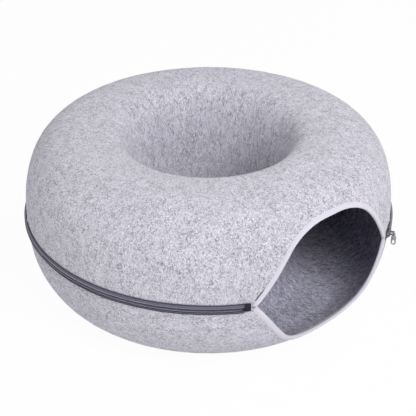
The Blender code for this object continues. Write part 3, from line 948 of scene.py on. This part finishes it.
@dataclass
class FeltHalf:
    """One moulded half of the tunnel, with its own slight unevenness."""

    form: FeltForm
    side: Side
    entry_columns: int = 120
    other_columns: int = 330
    outer_rows: int = 72
    inner_rows: int = 44
    row_crowding: float = 0.35
    swell: float = 0.7 * MM
    swells_per_metre: float = 11.0
    ripple: float = 0.18 * MM
    ripples_per_metre: float = 85.0
    half_shift: float = 3.0
    still_zone: float = 8.0 * MM
    easing_zone: float = 14.0 * MM
    floor_zone: float = 6.0 * MM
    end_zone: float = 9.0 * MM
    closing_zone: float = 2.0 * MM
    corner_gap: float = 0.12 * MM
    entry_margin: float = 1.06
    rounding: float = 0.9 * MM
    corner_rounding: float = 0.15 * MM
    rim_shares: Pair = (0.3, 0.5)
    seam_shares: Pair = (-0.15, 0.2)
    draw_shares: Pair = (0.62, 0.95)
    well_draw_share: float = 0.45
    well_start: float = 0.128
    lay_radius: tuple = ((0.10, 0.45), (0.15, 0.0))
    inner_draw_share: float = 0.3
    inner_lay_radius: float = 0.17
    inner_lay_shift: float = 2.0

    def columns(self) -> np.ndarray:
        """Sets the columns closer together along the entry.

        Returns:
            Their angles from the entry's middle.
        """
        half = self.form.entry_half_angle * self.entry_margin
        entry = np.linspace(-half, half, self.entry_columns, endpoint=False)
        other = np.linspace(half, 2 * np.pi - half, self.other_columns, endpoint=False)
        return np.concatenate([entry, other])

    def start_heights(self, angles: np.ndarray) -> np.ndarray:
        """Where each column's face starts, as a distance from the zip plane.

        The face starts at the entry's edge, or at the rim, where it leaves room for the slider.
        At the entry's corners, where no slider comes, both halves nearly meet.

        Args:
            angles: The columns' angles from the entry's middle.

        Returns:
            The distances.
        """
        around = np.abs(self._folded(angles))
        line = self.form.outline(FINE_OUTLINE)
        edge = np.interp(around, line[:, 0], line[:, 1])
        past = (around - self.form.entry_half_angle) * self.form.rim_radius
        closing = np.clip((past - self.end_zone) / self.closing_zone + 1, 0.0, 1.0)
        rim = self.corner_gap + (self.form.rim_setback - self.corner_gap) * closing
        return np.maximum(edge, np.where(past > 0, rim, self.corner_gap))

    @staticmethod
    def _folded(angles: np.ndarray) -> np.ndarray:
        """The same angles, from half a turn before the entry's middle to half a turn past it."""
        return (angles + np.pi) % (2 * np.pi) - np.pi

    def _from_edge(self, angles: np.ndarray, offset: np.ndarray) -> np.ndarray:
        """How far each point is from the entry's edge, on the unrolled rim.

        Args:
            angles: The columns' angles from the entry's middle.
            offset: The points' distances from the zip plane, by column and row.

        Returns:
            The distances.
        """
        reach = self.form.rim_radius
        edge = self.form.whole_outline(COARSE_OUTLINE) * (reach, 1)
        along = self._folded(angles) * reach
        return np.min(np.hypot(along[:, None, None] - edge[:, 0], offset[..., None] - edge[:, 1]), axis=-1)

    def build(self) -> bpy.types.Object:
        """Builds the half as one closed skin of outer face, lips and inner face.

        Returns:
            The object.
        """
        form, sign = self.form, self.side.value
        section = form.section(self.side)
        run, radius, height, out, up = section.T
        angles = self.columns()
        rim_end = int(np.argmax(radius < form.crest_radius))
        offset = sign * (height[:rim_end] - form.zip_height)
        starts = self.start_heights(angles)
        begin = np.interp(starts, offset, run[:rim_end])[:, None]

        def rows(count: int) -> np.ndarray:
            """Sets the rows closer together at both ends of a column.

            Args:
                count: How many rows a column has.

            Returns:
                Their arc lengths, by column and row.
            """
            share = np.linspace(0.0, 1.0, count)
            share = share - self.row_crowding / (2 * np.pi) * np.sin(2 * np.pi * share)
            return begin + (run[-1] - begin) * share

        def sheet(where: np.ndarray, depth: Union[float, np.ndarray]) -> np.ndarray:
            """The face at a depth under the outer one.

            Args:
                where: Arc lengths, by column and row.
                depth: How far under the outer face it lies.

            Returns:
                The points.
            """
            r, z, n_out, n_up = (np.interp(where, run, k) for k in (radius, height, out, up))
            z_in = np.maximum(z - n_up * depth, depth)
            return form.point(angles[:, None] + ENTRY_AZIMUTH, r - n_out * depth, z_in)

        outer_at, inner_at = rows(self.outer_rows), rows(self.inner_rows)
        from_zip = np.interp(inner_at, run, sign * (height - form.zip_height))
        depth = form.pressed(self._from_edge(angles, from_zip))
        depth = np.where(inner_at < run[rim_end], depth, form.thickness)
        outer, inner = sheet(outer_at, 0.0), sheet(inner_at, depth)
        closed = starts[:, None] < form.rim_setback / 2
        rim_rounding = np.where(closed, self.corner_rounding, self.rounding)
        ends = ((0, rim_rounding, self.rim_shares), (-1, self.rounding, self.seam_shares))
        for row, rounding, (forward, under) in ends:
            outer[:, row] = sheet(outer_at[:, [row]] + rounding * forward, rounding * under)[:, 0]
        loops = np.concatenate([outer, inner[:, ::-1]], axis=1)
        normals = self._normals(loops)
        loops = loops + normals * self._unevenness(loops)[..., None] * self._free(loops)[..., None]
        loops[..., 2] = np.maximum(loops[..., 2], 0.0)
        wall = np.maximum(outer_at - run[np.argmax(radius < self.well_start)], 0.0)
        drawn = outer_at - wall * self.well_draw_share
        lay = self._lay(angles, np.interp(outer_at, run, radius), drawn, inner_at)
        # The inner face's rows take the darker inside felt, which is painted shade inside the tunnel.
        strips = np.zeros(loops.shape[1], int)
        strips[self.outer_rows :] = 1
        piece = Workpiece(f"{self.side.label}_felt")
        piece.skin(loops, ring=True, lay=lay, slot_of_row=strips)
        node = f"{self.side.label}_shell"
        return piece.finish("tunnel", "felt", (FELT, FELT_INSIDE_SHADED), (node,))

    def _normals(self, loops: np.ndarray) -> np.ndarray:
        """Rough normals of the grid, which point to the same side on both faces.

        Args:
            loops: The half's points, by column and row.

        Returns:
            The normals.
        """
        across = np.roll(loops, -1, axis=0) - np.roll(loops, 1, axis=0)
        down = np.roll(loops, -1, axis=1) - np.roll(loops, 1, axis=1)
        normal = unit(np.cross(across, down) + TINY)
        normal[:, self.outer_rows :] *= -1
        return normal

    def _unevenness(self, loops: np.ndarray) -> np.ndarray:
        """How far each point stands off the smooth form.

        Args:
            loops: The half's points, by column and row.

        Returns:
            The distances.
        """
        flat = loops.reshape(-1, 3)
        shift = Vector((self.side.value * self.half_shift, 0.0, 0.0))
        total = np.zeros(len(flat))
        layers = ((self.swell, self.swells_per_metre), (self.ripple, self.ripples_per_metre))
        for depth, per_metre in layers:
            total += [depth * noise.noise(Vector(p) * per_metre + shift) for p in flat]
        return total.reshape(loops.shape[:2])

    def _free(self, loops: np.ndarray) -> np.ndarray:
        """How freely each point may stand off: not at all at the zips and on the floor.

        Args:
            loops: The half's points, by column and row.

        Returns:
            Shares from 0 to 1.
        """
        from_zip = np.abs(loops[..., 2] - self.form.zip_height)
        free = np.clip((from_zip - self.still_zone) / self.easing_zone, 0.0, 1.0)
        return free * np.clip(loops[..., 2] / self.floor_zone, 0.0, 1.0)

    def _lay(
        self, angles: np.ndarray, outer_radius: np.ndarray, outer_at: np.ndarray, inner_at: np.ndarray
    ) -> np.ndarray:
        """Where each point lay on the sheet: the press draws the felt down the walls, and streaks it.

        Args:
            angles: The columns' angles.
            outer_radius: Radii of the outer face's points.
            outer_at: Arc lengths of the outer face's rows, shortened where the well's wall is drawn most.
            inner_at: Arc lengths of the inner face's rows.

        Returns:
            Three numbers for each point.
        """
        turn = (angles + ENTRY_AZIMUTH)[:, None]
        least, growth = self.side.pick(self.lay_radius)
        outer_height = outer_at * self.side.pick(self.draw_shares) + self.side.value
        outer = self.form.point(turn, least + growth * outer_radius, outer_height)
        inner_height = inner_at * self.inner_draw_share + self.inner_lay_shift
        inner = self.form.point(turn, np.full_like(inner_at, self.inner_lay_radius), inner_height)
        return np.concatenate([outer, inner[:, ::-1]], axis=1)


@dataclass
class EntryBinding:
    """A woven tape, folded over the felt's edge along one half of the entry."""

    form: FeltForm
    side: Side
    width: float = 6.0 * MM
    cloth: float = 0.6 * MM
    gap: float = 0.15 * MM
    puff: float = 0.3 * MM
    puff_power: float = 0.8
    puff_fall: float = 0.5
    seam_inset: float = 1.5 * MM
    fold_corner: float = 0.9 * MM
    end_gap: float = 0.1 * MM
    least_height: float = 0.3 * MM
    steps: int = 75
    leg_points: int = 11
    corner_points: int = 5
    stitch: LockStitch = LockStitch(pitch=3.1 * MM, thread=0.2 * MM)
    thread_lift: float = 0.12 * MM

    def path(self, count: int) -> tuple[np.ndarray, np.ndarray, np.ndarray]:
        """The edge, corner to corner.

        Args:
            count: How many steps each side of the middle has.

        Returns:
            Points, the face's normals there, and directions away from the opening.
        """
        line = self.form.whole_outline(count)
        place, normal = self.form.face(self.side, line[:, 0], line[:, 1])
        along = unit(np.gradient(place, axis=0))
        away = unit(np.cross(normal, along)) * self.side.value
        return place, normal, away

    def section(self) -> np.ndarray:
        """The middle line of the folded cloth, from its outer hem round the edge to its inner hem.

        Returns:
            Distances from the felt's edge, and heights over the felt's outer face.
        """
        lift = self.gap + self.cloth / 2
        leg = np.linspace(1.0, 0.0, self.leg_points)
        under = -self.form.pressed(leg[::-1] * self.width) - lift
        far = under[0]
        bulge = self.puff * np.sin(np.pi * leg**self.puff_power) * (1 - self.puff_fall * leg)
        outer = np.stack([leg * self.width, lift + bulge], -1)
        turn = np.linspace(0.0, np.pi / 2, self.corner_points)[1:]
        r = self.fold_corner
        near = np.stack([-lift + r - r * np.sin(turn), lift - r + r * np.cos(turn)], -1)
        last = np.stack([-lift + r - r * np.cos(turn), far + r - r * np.sin(turn)], -1)
        inner = np.stack([leg[::-1] * self.width, under], -1)
        return np.concatenate([outer, near, last, inner[1:]])

    def build(self) -> bpy.types.Object:
        """Builds the folded tape.

        Returns:
            The object.
        """
        edge = self.path(self.steps)
        middle = self.section()
        side_way = unit(np.gradient(middle, axis=0))[:, ::-1] * (-1, 1)
        faces = [middle + side_way * self.cloth / 2, (middle - side_way * self.cloth / 2)[::-1]]
        loop = np.concatenate(faces)
        loops = np.stack([self.set_out(across, over, *edge) for across, over in loop], axis=1)
        limit = self.form.zip_height + self.side.value * self.end_gap
        loops[..., 2] = self.side.pick((np.maximum, np.minimum))(loops[..., 2], limit)
        around = run_along(loop)
        chart = grid_chart(run_along(edge[0]), np.append(around, around[-1] + self.cloth))
        piece = Workpiece(f"{self.side.label}_binding")
        piece.skin(loops, chart=chart)
        return piece.finish("tunnel", "binding", (BINDING,), (f"{self.side.label}_entry_binding",))

    def set_out(
        self, across: float, over: float, place: np.ndarray, normal: np.ndarray, away: np.ndarray
    ) -> np.ndarray:
        """Points beside the edge, at one distance from it and one height over the felt.

        Args:
            across: The distance from the edge, negative on the opening's side.
            over: The height over the outer face.
            place: The edge's points.
            normal: The face's normals there.
            away: Directions away from the opening.

        Returns:
            The points.
        """
        if across <= 0:
            return place + away * across + normal * over
        rough = place + away * across
        angle = np.arctan2(rough[:, 1] - self.form.axis[1], rough[:, 0] - self.form.axis[0]) - ENTRY_AZIMUTH
        height = np.maximum(self.side.value * (rough[:, 2] - self.form.zip_height), self.least_height)
        foot, lean = self.form.face(self.side, angle, height)
        return foot + lean * over

    def stitches(self) -> bpy.types.Object:
        """Sews the tape down near its free edge, through both legs.

        Returns:
            The thread's object.
        """
        edge = self.path(FINE_OUTLINE)
        inset = self.width - self.seam_inset
        over = self.gap + self.cloth + self.thread_lift
        piece = Workpiece(f"{self.side.label}_binding_stitches")
        for height, sign in ((over, 1), (-self.form.pressed(inset) - over, -1)):
            self.stitch.sew(piece, self.set_out(inset, height, *edge), edge[1] * sign)
        return piece.finish("tunnel", "binding", (PALE_THREAD,))


@dataclass
class TapeTail:
    """The end of the upper zip tape, turned up beside the entry's binding and sewn in under it."""

    binding: EntryBinding
    start: float = 6.5 * MM
    length: float = 17.0 * MM
    shown: float = 1.3 * MM
    hidden: float = 1.2 * MM
    cloth: float = 0.5 * MM
    lift: float = 0.03 * MM
    tuck: float = 0.1 * MM
    bulge_share: float = 0.08
    end_width_share: float = 0.05
    full_width_share: float = 4.0
    chart_span: Pair = (3.0 * MM, 1.2 * MM)
    steps: int = 24

    def section(self) -> list[Pair]:
        """The strip's corners, as shares of its width and heights over the felt."""
        low, top, tucked = self.lift, self.cloth, self.cloth - self.tuck
        return [(0.0, low), (1.0, low), (1.0 + self.bulge_share, 0.5 * top), (1.0, top), (0.0, tucked)]

    def build(self) -> bpy.types.Object:
        """Builds the strip along the binding's outer edge, from the zip's start upwards.

        Returns:
            The object.
        """
        whole = self.binding.path(FINE_OUTLINE)
        at = self.start + self.length * np.linspace(0.0, 1.0, self.steps)
        edge = [read_at(at, run_along(whole[0]), rows) for rows in whole]
        narrowing = np.linspace(self.full_width_share, self.end_width_share, self.steps)
        taper = np.sqrt(np.clip(narrowing, 0.0, 1.0))
        hem = self.binding.width - self.hidden
        section = self.section()
        loops = np.empty((self.steps, len(section), 3))
        for row, share in enumerate(taper):
            reach = self.hidden + self.shown * share
            here = [rows[row : row + 1] for rows in edge]
            for corner, (across, over) in enumerate(section):
                loops[row, corner] = self.binding.set_out(hem + across * reach, over, *here)[0]
        piece = Workpiece("outer_tape_tail")
        piece.skin(loops, chart=grid_chart(at, np.linspace(*self.chart_span, len(section) + 1)))
        # Its near-black tape is partly painted shade along the binding's outer edge.
        return piece.finish("tunnel", "zip_tape", (TAIL_TAPE_SHADED,))


# Zips


@dataclass(frozen=True)
class ZipLine:
    """The circle that one zip runs on, with the sizes of its tapes, as the solids have them."""

    form: FeltForm
    name: RingName
    tape_radius: float
    height: float
    corner: float
    tape_cloth: float = 0.7 * MM
    half_gap: float = 0.8 * MM
    seat: float = 0.3 * MM
    coil_width: float = 2.1 * MM
    coil_thickness: float = 2.0 * MM
    end_gap: float = 7.3 * MM
    stop_setback: float = 1.5 * MM
    stop_length: float = 2.5 * MM
    box_length: float = 7.0 * MM
    pin_past_box: float = 3.0 * MM
    inner_shoulder: float = 4.9 * MM
    inner_reach: float = 12.5 * MM

    @property
    def wall_gap(self) -> float:
        """How far the tape stands off the felt.

        Returns:
            The seat's gap outside, and the room up to the well's wall inside.
        """
        if self.name is RingName.OUTER:
            return self.seat
        return self.tape_radius - self.form.well_radius - self.form.thickness

    def closed_end(self, arc: float) -> float:
        """The azimuth at an arc length past the corner where the closed slider rests."""
        return ENTRY_AZIMUTH + self.corner + arc / self.tape_radius

    def start_end(self, arc: float) -> float:
        """The azimuth at an arc length before the corner where the zip starts."""
        return ENTRY_AZIMUTH + 2 * math.pi - self.corner - arc / self.tape_radius

    def place(self, azimuth: np.ndarray, out: np.ndarray, up: np.ndarray) -> np.ndarray:
        """Points at an azimuth, a distance out from the tape's inner face and one up from the zip plane."""
        return self.form.point(azimuth, self.tape_radius + out, self.height + up)

    def span(self, side: Side) -> Pair:
        """The azimuths that a half's tape runs between."""
        start = self.end_gap + side.pick((0.0, self.box_length + self.seat))
        return self.closed_end(self.end_gap), self.start_end(start)


@dataclass
class Tape:
    """One zip tape, sewn to the felt along the edge that is away from the coil."""

    line: ZipLine
    side: Side
    outer_heights_mm: tuple = (0.8, 1.2, 2.0, 3.0, 4.2, 5.4, 6.0, 6.6, 7.0)
    inner_heights_mm: tuple = (0.8, 1.2, 2.0, 3.0, 4.9, 7.0, 9.5, 11.3, 12.0, 12.5)
    soft_edge: float = 0.4 * MM
    edge_share: float = 0.35
    step: float = 1.6 * MM
    wave: float = 0.12 * MM
    pucker_share: float = 0.5
    loose_width: float = 4.0 * MM
    sewn_width: float = 3.0 * MM
    drift_lengths: Pair = (21.0 * MM, 50.0 * MM)
    drift_sway: float = 1.3
    stitch: LockStitch = LockStitch(pitch=3.4 * MM, thread=0.19 * MM)
    stitch_inset: float = 1.3 * MM
    stitch_margin: float = 0.004
    seam_points: int = 3000
    thread_lift: float = 0.14 * MM

    @property
    def name(self) -> str:
        """The zip's name, as the tape's pieces hold it."""
        return self.line.name.value

    def section(self) -> tuple[np.ndarray, np.ndarray]:
        """The tape's inner and outer face across its width, with a corded edge beside the chain.

        Returns:
            Distances out of the tape's inner face, and up from the zip plane, for both faces in turn.
        """
        line = self.line
        if line.name is RingName.OUTER:
            up = np.array(self.outer_heights_mm) * MM
            foot = np.zeros_like(up)
        else:
            up = np.array(self.inner_heights_mm) * MM
            lean = np.clip((up - line.inner_shoulder) / (line.inner_reach - line.inner_shoulder), 0.0, 1.0)
            foot = -lean * (line.wall_gap - line.seat)
        edge = np.minimum(up - up[0], up[-1] - up)
        soft = np.clip(edge / self.soft_edge, self.edge_share, 1.0)
        middle = foot + line.tape_cloth / 2
        half = line.tape_cloth / 2 * soft
        return np.concatenate([middle + half, (middle - half)[::-1]]), np.concatenate([up, up[::-1]])

    def build(self) -> bpy.types.Object:
        """Builds the tape with a slight wave along its sewn edge.

        Returns:
            The object.
        """
        start, end = self.line.span(self.side)
        count = int((end - start) * self.line.tape_radius / self.step)
        azimuth = np.linspace(start, end, count)[:, None]
        out, up = self.section()
        arc = azimuth * self.line.tape_radius
        sewn = self.wave * np.clip((up - self.loose_width) / self.sewn_width, 0.0, 1.0)
        pucker = self.pucker_share * sewn * np.abs(np.sin(2 * np.pi * arc / self.stitch.pitch))
        short, long = self.drift_lengths
        drift = sewn * np.sin(arc / short + self.drift_sway * np.sin(arc / long))
        loops = self.line.place(azimuth, out + pucker, self.side.value * (up + drift))
        across = up.max() - np.append(up, up[0])
        piece = Workpiece(f"{self.name}_tape_{self.side.label}")
        piece.skin(loops, chart=grid_chart(arc.ravel(), across))
        return piece.finish("tunnel", "zip_tape", (ZIP_TAPE,), (f"{self.name}_zip_tape_{self.side.label}",))

    def stitches(self) -> bpy.types.Object:
        """Sews the tape to the felt.

        Returns:
            The thread's object.
        """
        start, end = self.line.span(self.side)
        azimuth = np.linspace(start + self.stitch_margin, end - self.stitch_margin, self.seam_points)
        out, up = self.section()
        reach = up.max() - self.stitch_inset
        outer = len(up) // 2
        foot = np.interp(reach, up[:outer], out[:outer])
        seam = self.line.place(azimuth, foot + self.thread_lift, self.side.value * reach)
        piece = Workpiece(f"{self.name}_tape_stitches_{self.side.label}")
        self.stitch.sew(piece, seam, outward(azimuth))
        return piece.finish("tunnel", "zip_tape", (DARK_THREAD,))


@dataclass
class CoilRow:
    """One row of nylon coil: a single filament wound in flat turns, held down by two sewn threads.

    The heads stop short of the middle, so that the slider's wedge can run between the two rows.
    """

    line: ZipLine
    side: Side
    pitch: float = 1.27 * MM
    filament: float = 0.3 * MM
    head_reach: float = 0.52 * MM
    head_round: float = 0.12 * MM
    head_corner: float = 0.2 * MM
    leg_start: float = 0.6 * MM
    back_bend: float = 0.3 * MM
    first_turn_shares: Pair = (0.5, 1.0)
    sides: int = 5
    sharp: float = math.radians(80)
    thread: float = 0.33 * MM
    thread_sink: float = 0.13 * MM
    thread_dip: float = 0.25 * MM
    thread_step_share: float = 0.5
    dip_every: int = 4
    thread_rows: Pair = (0.8 * MM, 1.45 * MM)

    def turn(self) -> np.ndarray:
        """One turn of the filament, from the tape round the head and back.

        Returns:
            Shares of the pitch along, and metres out and up to the filament's middle.
        """
        low = self.line.tape_cloth + self.line.seat + self.filament
        high = low + self.line.coil_thickness - 2 * self.filament
        head = self.head_reach + self.filament
        back = self.line.half_gap + self.line.coil_width - self.filament
        middle = (low + high) / 2
        bend = self.back_bend
        return np.array(
            [
                (0.00, low, back - bend),
                (0.04, low, head + self.leg_start),
                (0.02, low + self.head_corner, head + self.head_round),
                (0.00, middle, head),
                (-0.02, high - self.head_corner, head + self.head_round),
                (0.00, high, head + self.leg_start),
                (0.22, high, back - bend),
                (0.48, middle + bend, back),
                (0.76, middle - bend, back),
            ]
        )

    def span(self) -> Pair:
        """Where the row begins and ends, between the stops and the start box.

        Returns:
            The two azimuths.
        """
        line = self.line
        start = line.closed_end(line.end_gap + line.stop_setback + line.stop_length + line.seat)
        past = line.seat + self.side.pick((0.0, line.pin_past_box))
        return start, line.start_end(line.end_gap + line.box_length + past)

    def build(self) -> bpy.types.Object:
        """Winds the row.

        Returns:
            The object.
        """
        line = self.line
        start, end = self.span()
        turns = int((end - start) * line.tape_radius / self.pitch) - 1
        first = start + self.pitch * self.side.pick(self.first_turn_shares) / line.tape_radius
        shape = self.turn()
        k = np.arange(turns)[:, None]
        arc = ((k + shape[None, :, 0]) * self.pitch).ravel()
        out = np.tile(shape[:, 1], turns)
        up = np.tile(shape[:, 2], turns) * self.side.value
        azimuth = first + arc / line.tape_radius
        path = line.place(azimuth, out, up)
        piece = Workpiece(f"{line.name.value}_coil_{self.side.label}")
        piece.skin(tube(path, outward(azimuth + np.pi / 2), self.filament, self.sides))
        for row in self.thread_rows:
            self._thread(piece, start, end, row)
        node = f"{line.name.value}_zip_coil_{self.side.label}"
        return piece.finish("tunnel", "zip_coil", (NYLON, DARK_THREAD), (node,), sharp=self.sharp)

    def _thread(self, piece: Workpiece, start: float, end: float, row: float) -> None:
        """Adds one thread that holds the turns down, as a line of shallow waves over them.

        Args:
            piece: The coil's piece.
            start: The azimuth that it starts at.
            end: The azimuth that it ends at.
            row: Its distance from the tape's edge.
        """
        line = self.line
        count = int((end - start) * line.tape_radius / (self.thread_step_share * self.pitch))
        azimuth = np.linspace(start, end, count)
        top = line.tape_cloth + line.seat + line.coil_thickness
        dip = np.where(np.arange(count) % self.dip_every == 0, self.thread_dip, 0.0)
        up = (line.half_gap + row) * self.side.value
        path = line.place(azimuth, top - self.thread_sink - dip, up)
        loops = tube(path, np.array((0.0, 0.0, 1.0)), self.thread, self.sides)
        chart = tube_chart(path, self.thread, self.sides)
        piece.skin(loops, chart=chart, slot_of_row=np.ones(self.sides, int))


@dataclass
class Fittings:
    """The rigid pieces of one zip, which keep the solids' shapes and get softened edges."""

    line: ZipLine
    parts: tuple = (
        ("slider", SLIDER_PLATING, 0.22 * MM),
        ("pull", PULL_PLATING, 0.25 * MM),
        ("start_box", BLACK_NYLON, 0.3 * MM),
        ("insertion_pin", BLACK_NYLON, 0.15 * MM),
        ("end_stop_upper", PULL_PLATING, 0.15 * MM),
        ("end_stop_lower", PULL_PLATING, 0.15 * MM),
    )
    bevel_segments: int = 3
    bevel_angle: float = math.radians(35)
    weld_distance: float = 0.001 * MM

    def dress(self) -> None:
        """Gives each piece its finish and a fine bevel."""
        for part, finish, bevel in self.parts:
            node = f"{self.line.name.value}_zip_{part}"
            obj = frame["nodes"][node]
            obj.data.materials.clear()
            obj.data.materials.append(finish.material())
            self._soften(obj, bevel)
            log.info("%s: dressed in %s", node, finish.name)

    def _soften(self, obj: bpy.types.Object, width: float) -> None:
        """Welds the solid's split corners and bevels its edges.

        Args:
            obj: The solid's object.
            width: The bevel's width.
        """
        weld = obj.modifiers.new("weld", "WELD")
        weld.merge_threshold = self.weld_distance
        bevel = obj.modifiers.new("softened_edges", "BEVEL")
        bevel.width = width
        bevel.segments = self.bevel_segments
        bevel.limit_method = "ANGLE"
        bevel.angle_limit = self.bevel_angle
        obj.data.shade_smooth()


# Studio


@dataclass
class Studio:
    """Camera, pale floor and soft light."""

    form: FeltForm
    distance: float = 1.5206
    elevation: float = math.radians(31.36)
    azimuth: float = math.radians(-130.5)
    lens: float = 95.71
    centre_pixel: Pair = (208.5, 201.5)
    frame_pixels: float = 416.0
    lamp_distance: float = 2.2
    lamp_size: float = 1.2
    lamps: tuple = (
        ("key", 30, 42, 35.0),
        ("left", -45, 65, 8.5),
        ("low_left", -50, 12, 10.3),
        ("back_right", 125, 40, 18.0),
        ("back_left", -125, 40, 7.5),
    )
    ambient: float = 0.02
    ambient_colour: Colour = (0.985, 0.985, 1.0)
    floor_reach: float = 5.0
    floor_drop: float = 0.2 * MM
    floor_grey: Colour = (0.88, 0.88, 0.88)
    floor_white: float = 0.96

    def build(self) -> None:
        """Builds the camera, the floor, the lamps and the world."""
        self._camera()
        self._floor()
        self._world()
        for lamp in self.lamps:
            self._lamp(*lamp)
        bpy.context.scene.view_settings.view_transform = "Standard"

    def _aim(
        self, name: str, data: bpy.types.ID, turn: float, elevation: float, distance: float
    ) -> bpy.types.Object:
        """Puts a camera or a lamp where it faces the middle of the tunnel.

        Args:
            name: The object's name.
            data: The camera's or the lamp's data.
            turn: Its angle from the camera, round the tunnel's axis.
            elevation: How high it stands, as an angle.
            distance: How far it stands from the middle.

        Returns:
            The object.
        """
        made = bpy.data.objects.new(name, data)
        bpy.context.scene.collection.objects.link(made)
        azimuth, flat = self.azimuth + turn, math.cos(elevation)
        back = Vector((flat * math.cos(azimuth), flat * math.sin(azimuth), math.sin(elevation)))
        made.location = Vector((*self.form.axis, self.form.zip_height)) + back * distance
        made.rotation_mode = "QUATERNION"
        made.rotation_quaternion = (-back).to_track_quat("-Z", "Y")
        return made

    def _camera(self) -> None:
        """Sets up the camera at the photographed view."""
        data = bpy.data.cameras.new("camera")
        data.lens = self.lens
        half = self.frame_pixels / 2
        data.shift_x = (half - self.centre_pixel[0]) / self.frame_pixels
        data.shift_y = (self.centre_pixel[1] - half) / self.frame_pixels
        bpy.context.scene.camera = self._aim("camera", data, 0.0, self.elevation, self.distance)

    def _floor(self) -> None:
        """Lays the floor, whose colour nears white for the camera and keeps a soft shadow."""
        mesh = bpy.data.meshes.new("floor")
        signs = [(-1, -1), (1, -1), (1, 1), (-1, 1)]
        corners = [(x * self.floor_reach, y * self.floor_reach, 0.0) for x, y in signs]
        mesh.from_pydata(corners, [], [(0, 1, 2, 3)])
        floor = bpy.data.objects.new("floor", mesh)
        floor.location.z = -self.floor_drop
        bpy.context.scene.collection.objects.link(floor)
        made = bpy.data.materials.new("pale_floor")
        made.use_nodes = True
        bench = ShaderBench(made.node_tree)
        shader = made.node_tree.nodes["Principled BSDF"]
        looks = {"Base Color": self.floor_grey, "Roughness": 0.9, "Specular IOR Level": 0.1}
        for name, value in looks.items():
            bench.plug(shader.inputs[name], value)
        glow = bench.node("ShaderNodeEmission", {}, {"Color": WHITE, "Strength": 1.0})
        seen = self._seen(bench) * self.floor_white
        lit = Wire(bench, shader.outputs[0])
        surface = bench.node("ShaderNodeMixShader", {}, {0: seen, 1: lit, 2: glow})
        bench.plug(made.node_tree.nodes["Material Output"].inputs["Surface"], surface)
        mesh.materials.append(made)

    @staticmethod
    def _seen(bench: ShaderBench) -> Wire:
        """A mask of the rays from the camera, and of what gloss and glass show.

        Args:
            bench: Makes the nodes.

        Returns:
            The mask.
        """
        kinds = ("Camera", "Glossy", "Transmission")
        rays = [bench.node("ShaderNodeLightPath", {}, {}, f"Is {kind} Ray") for kind in kinds]
        return sum(rays[1:], rays[0]).within(0.0, 1.0)

    def _world(self) -> None:
        """Gives the world an even light, and white behind everything."""
        world = bpy.data.worlds.new("studio")
        world.use_nodes = True
        bpy.context.scene.world = world
        bench = ShaderBench(world.node_tree)
        world.node_tree.nodes.clear()
        even = {"Color": self.ambient_colour, "Strength": self.ambient}
        light = bench.node("ShaderNodeBackground", {}, even)
        white = bench.node("ShaderNodeBackground", {}, {"Color": WHITE, "Strength": 1.0})
        surface = bench.node("ShaderNodeMixShader", {}, {0: self._seen(bench), 1: light, 2: white})
        output = world.node_tree.nodes.new("ShaderNodeOutputWorld")
        bench.plug(output.inputs["Surface"], surface)

    def _lamp(self, name: str, turn: float, elevation: float, power: float) -> None:
        """Hangs a soft square lamp that faces the tunnel.

        Args:
            name: The lamp's name.
            turn: Degrees from the camera, round the tunnel's axis.
            elevation: How high it stands, in degrees.
            power: Its power in watts.
        """
        data = bpy.data.lights.new(name, "AREA")
        data.shape = "SQUARE"
        data.size = self.lamp_size
        data.energy = power
        self._aim(name, data, math.radians(turn), math.radians(elevation), self.lamp_distance)


def joint_place(name: str) -> Sequence[float]:
    """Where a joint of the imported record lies."""
    return next(joint["pos_m"] for joint in frame["joints"] if joint["name"] == name)


def zip_lines(form: FeltForm) -> list[ZipLine]:
    """Both zips' circles, from the solids' own boxes.

    Args:
        form: The felt's form.

    Returns:
        The outer and the inner zip's circle.
    """
    outer_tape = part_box("outer_zip_tape_upper")[1].x - ZipLine.tape_cloth
    coil_top = ZipLine.tape_cloth + ZipLine.seat + ZipLine.coil_thickness
    inner_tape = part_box("inner_zip_coil_upper")[1].x - coil_top
    inner_height = joint_place("inner_zip_travel")[2]
    return [
        ZipLine(form, RingName.OUTER, outer_tape, form.zip_height, form.entry_half_angle),
        ZipLine(form, RingName.INNER, inner_tape, inner_height, 0.0),
    ]


def main() -> None:
    """Builds the studio and every piece in order."""
    logging.basicConfig(level=logging.INFO, format="%(message)s")
    place = joint_place("outer_zip_travel")
    _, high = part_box("upper_shell")
    form = FeltForm(axis=(place[0], place[1]), zip_height=place[2], rim_radius=high.x, top=high.z)
    Studio(form).build()
    for side in Side:
        FeltHalf(form, side).build()
        binding = EntryBinding(form, side)
        binding.build()
        binding.stitches()
        if side is Side.UPPER:
            TapeTail(binding).build()
    for line in zip_lines(form):
        for side in Side:
            tape = Tape(line, side)
            tape.build()
            tape.stitches()
            CoilRow(line, side).build()
        Fittings(line).dress()


if __name__ == "__main__":
    main()
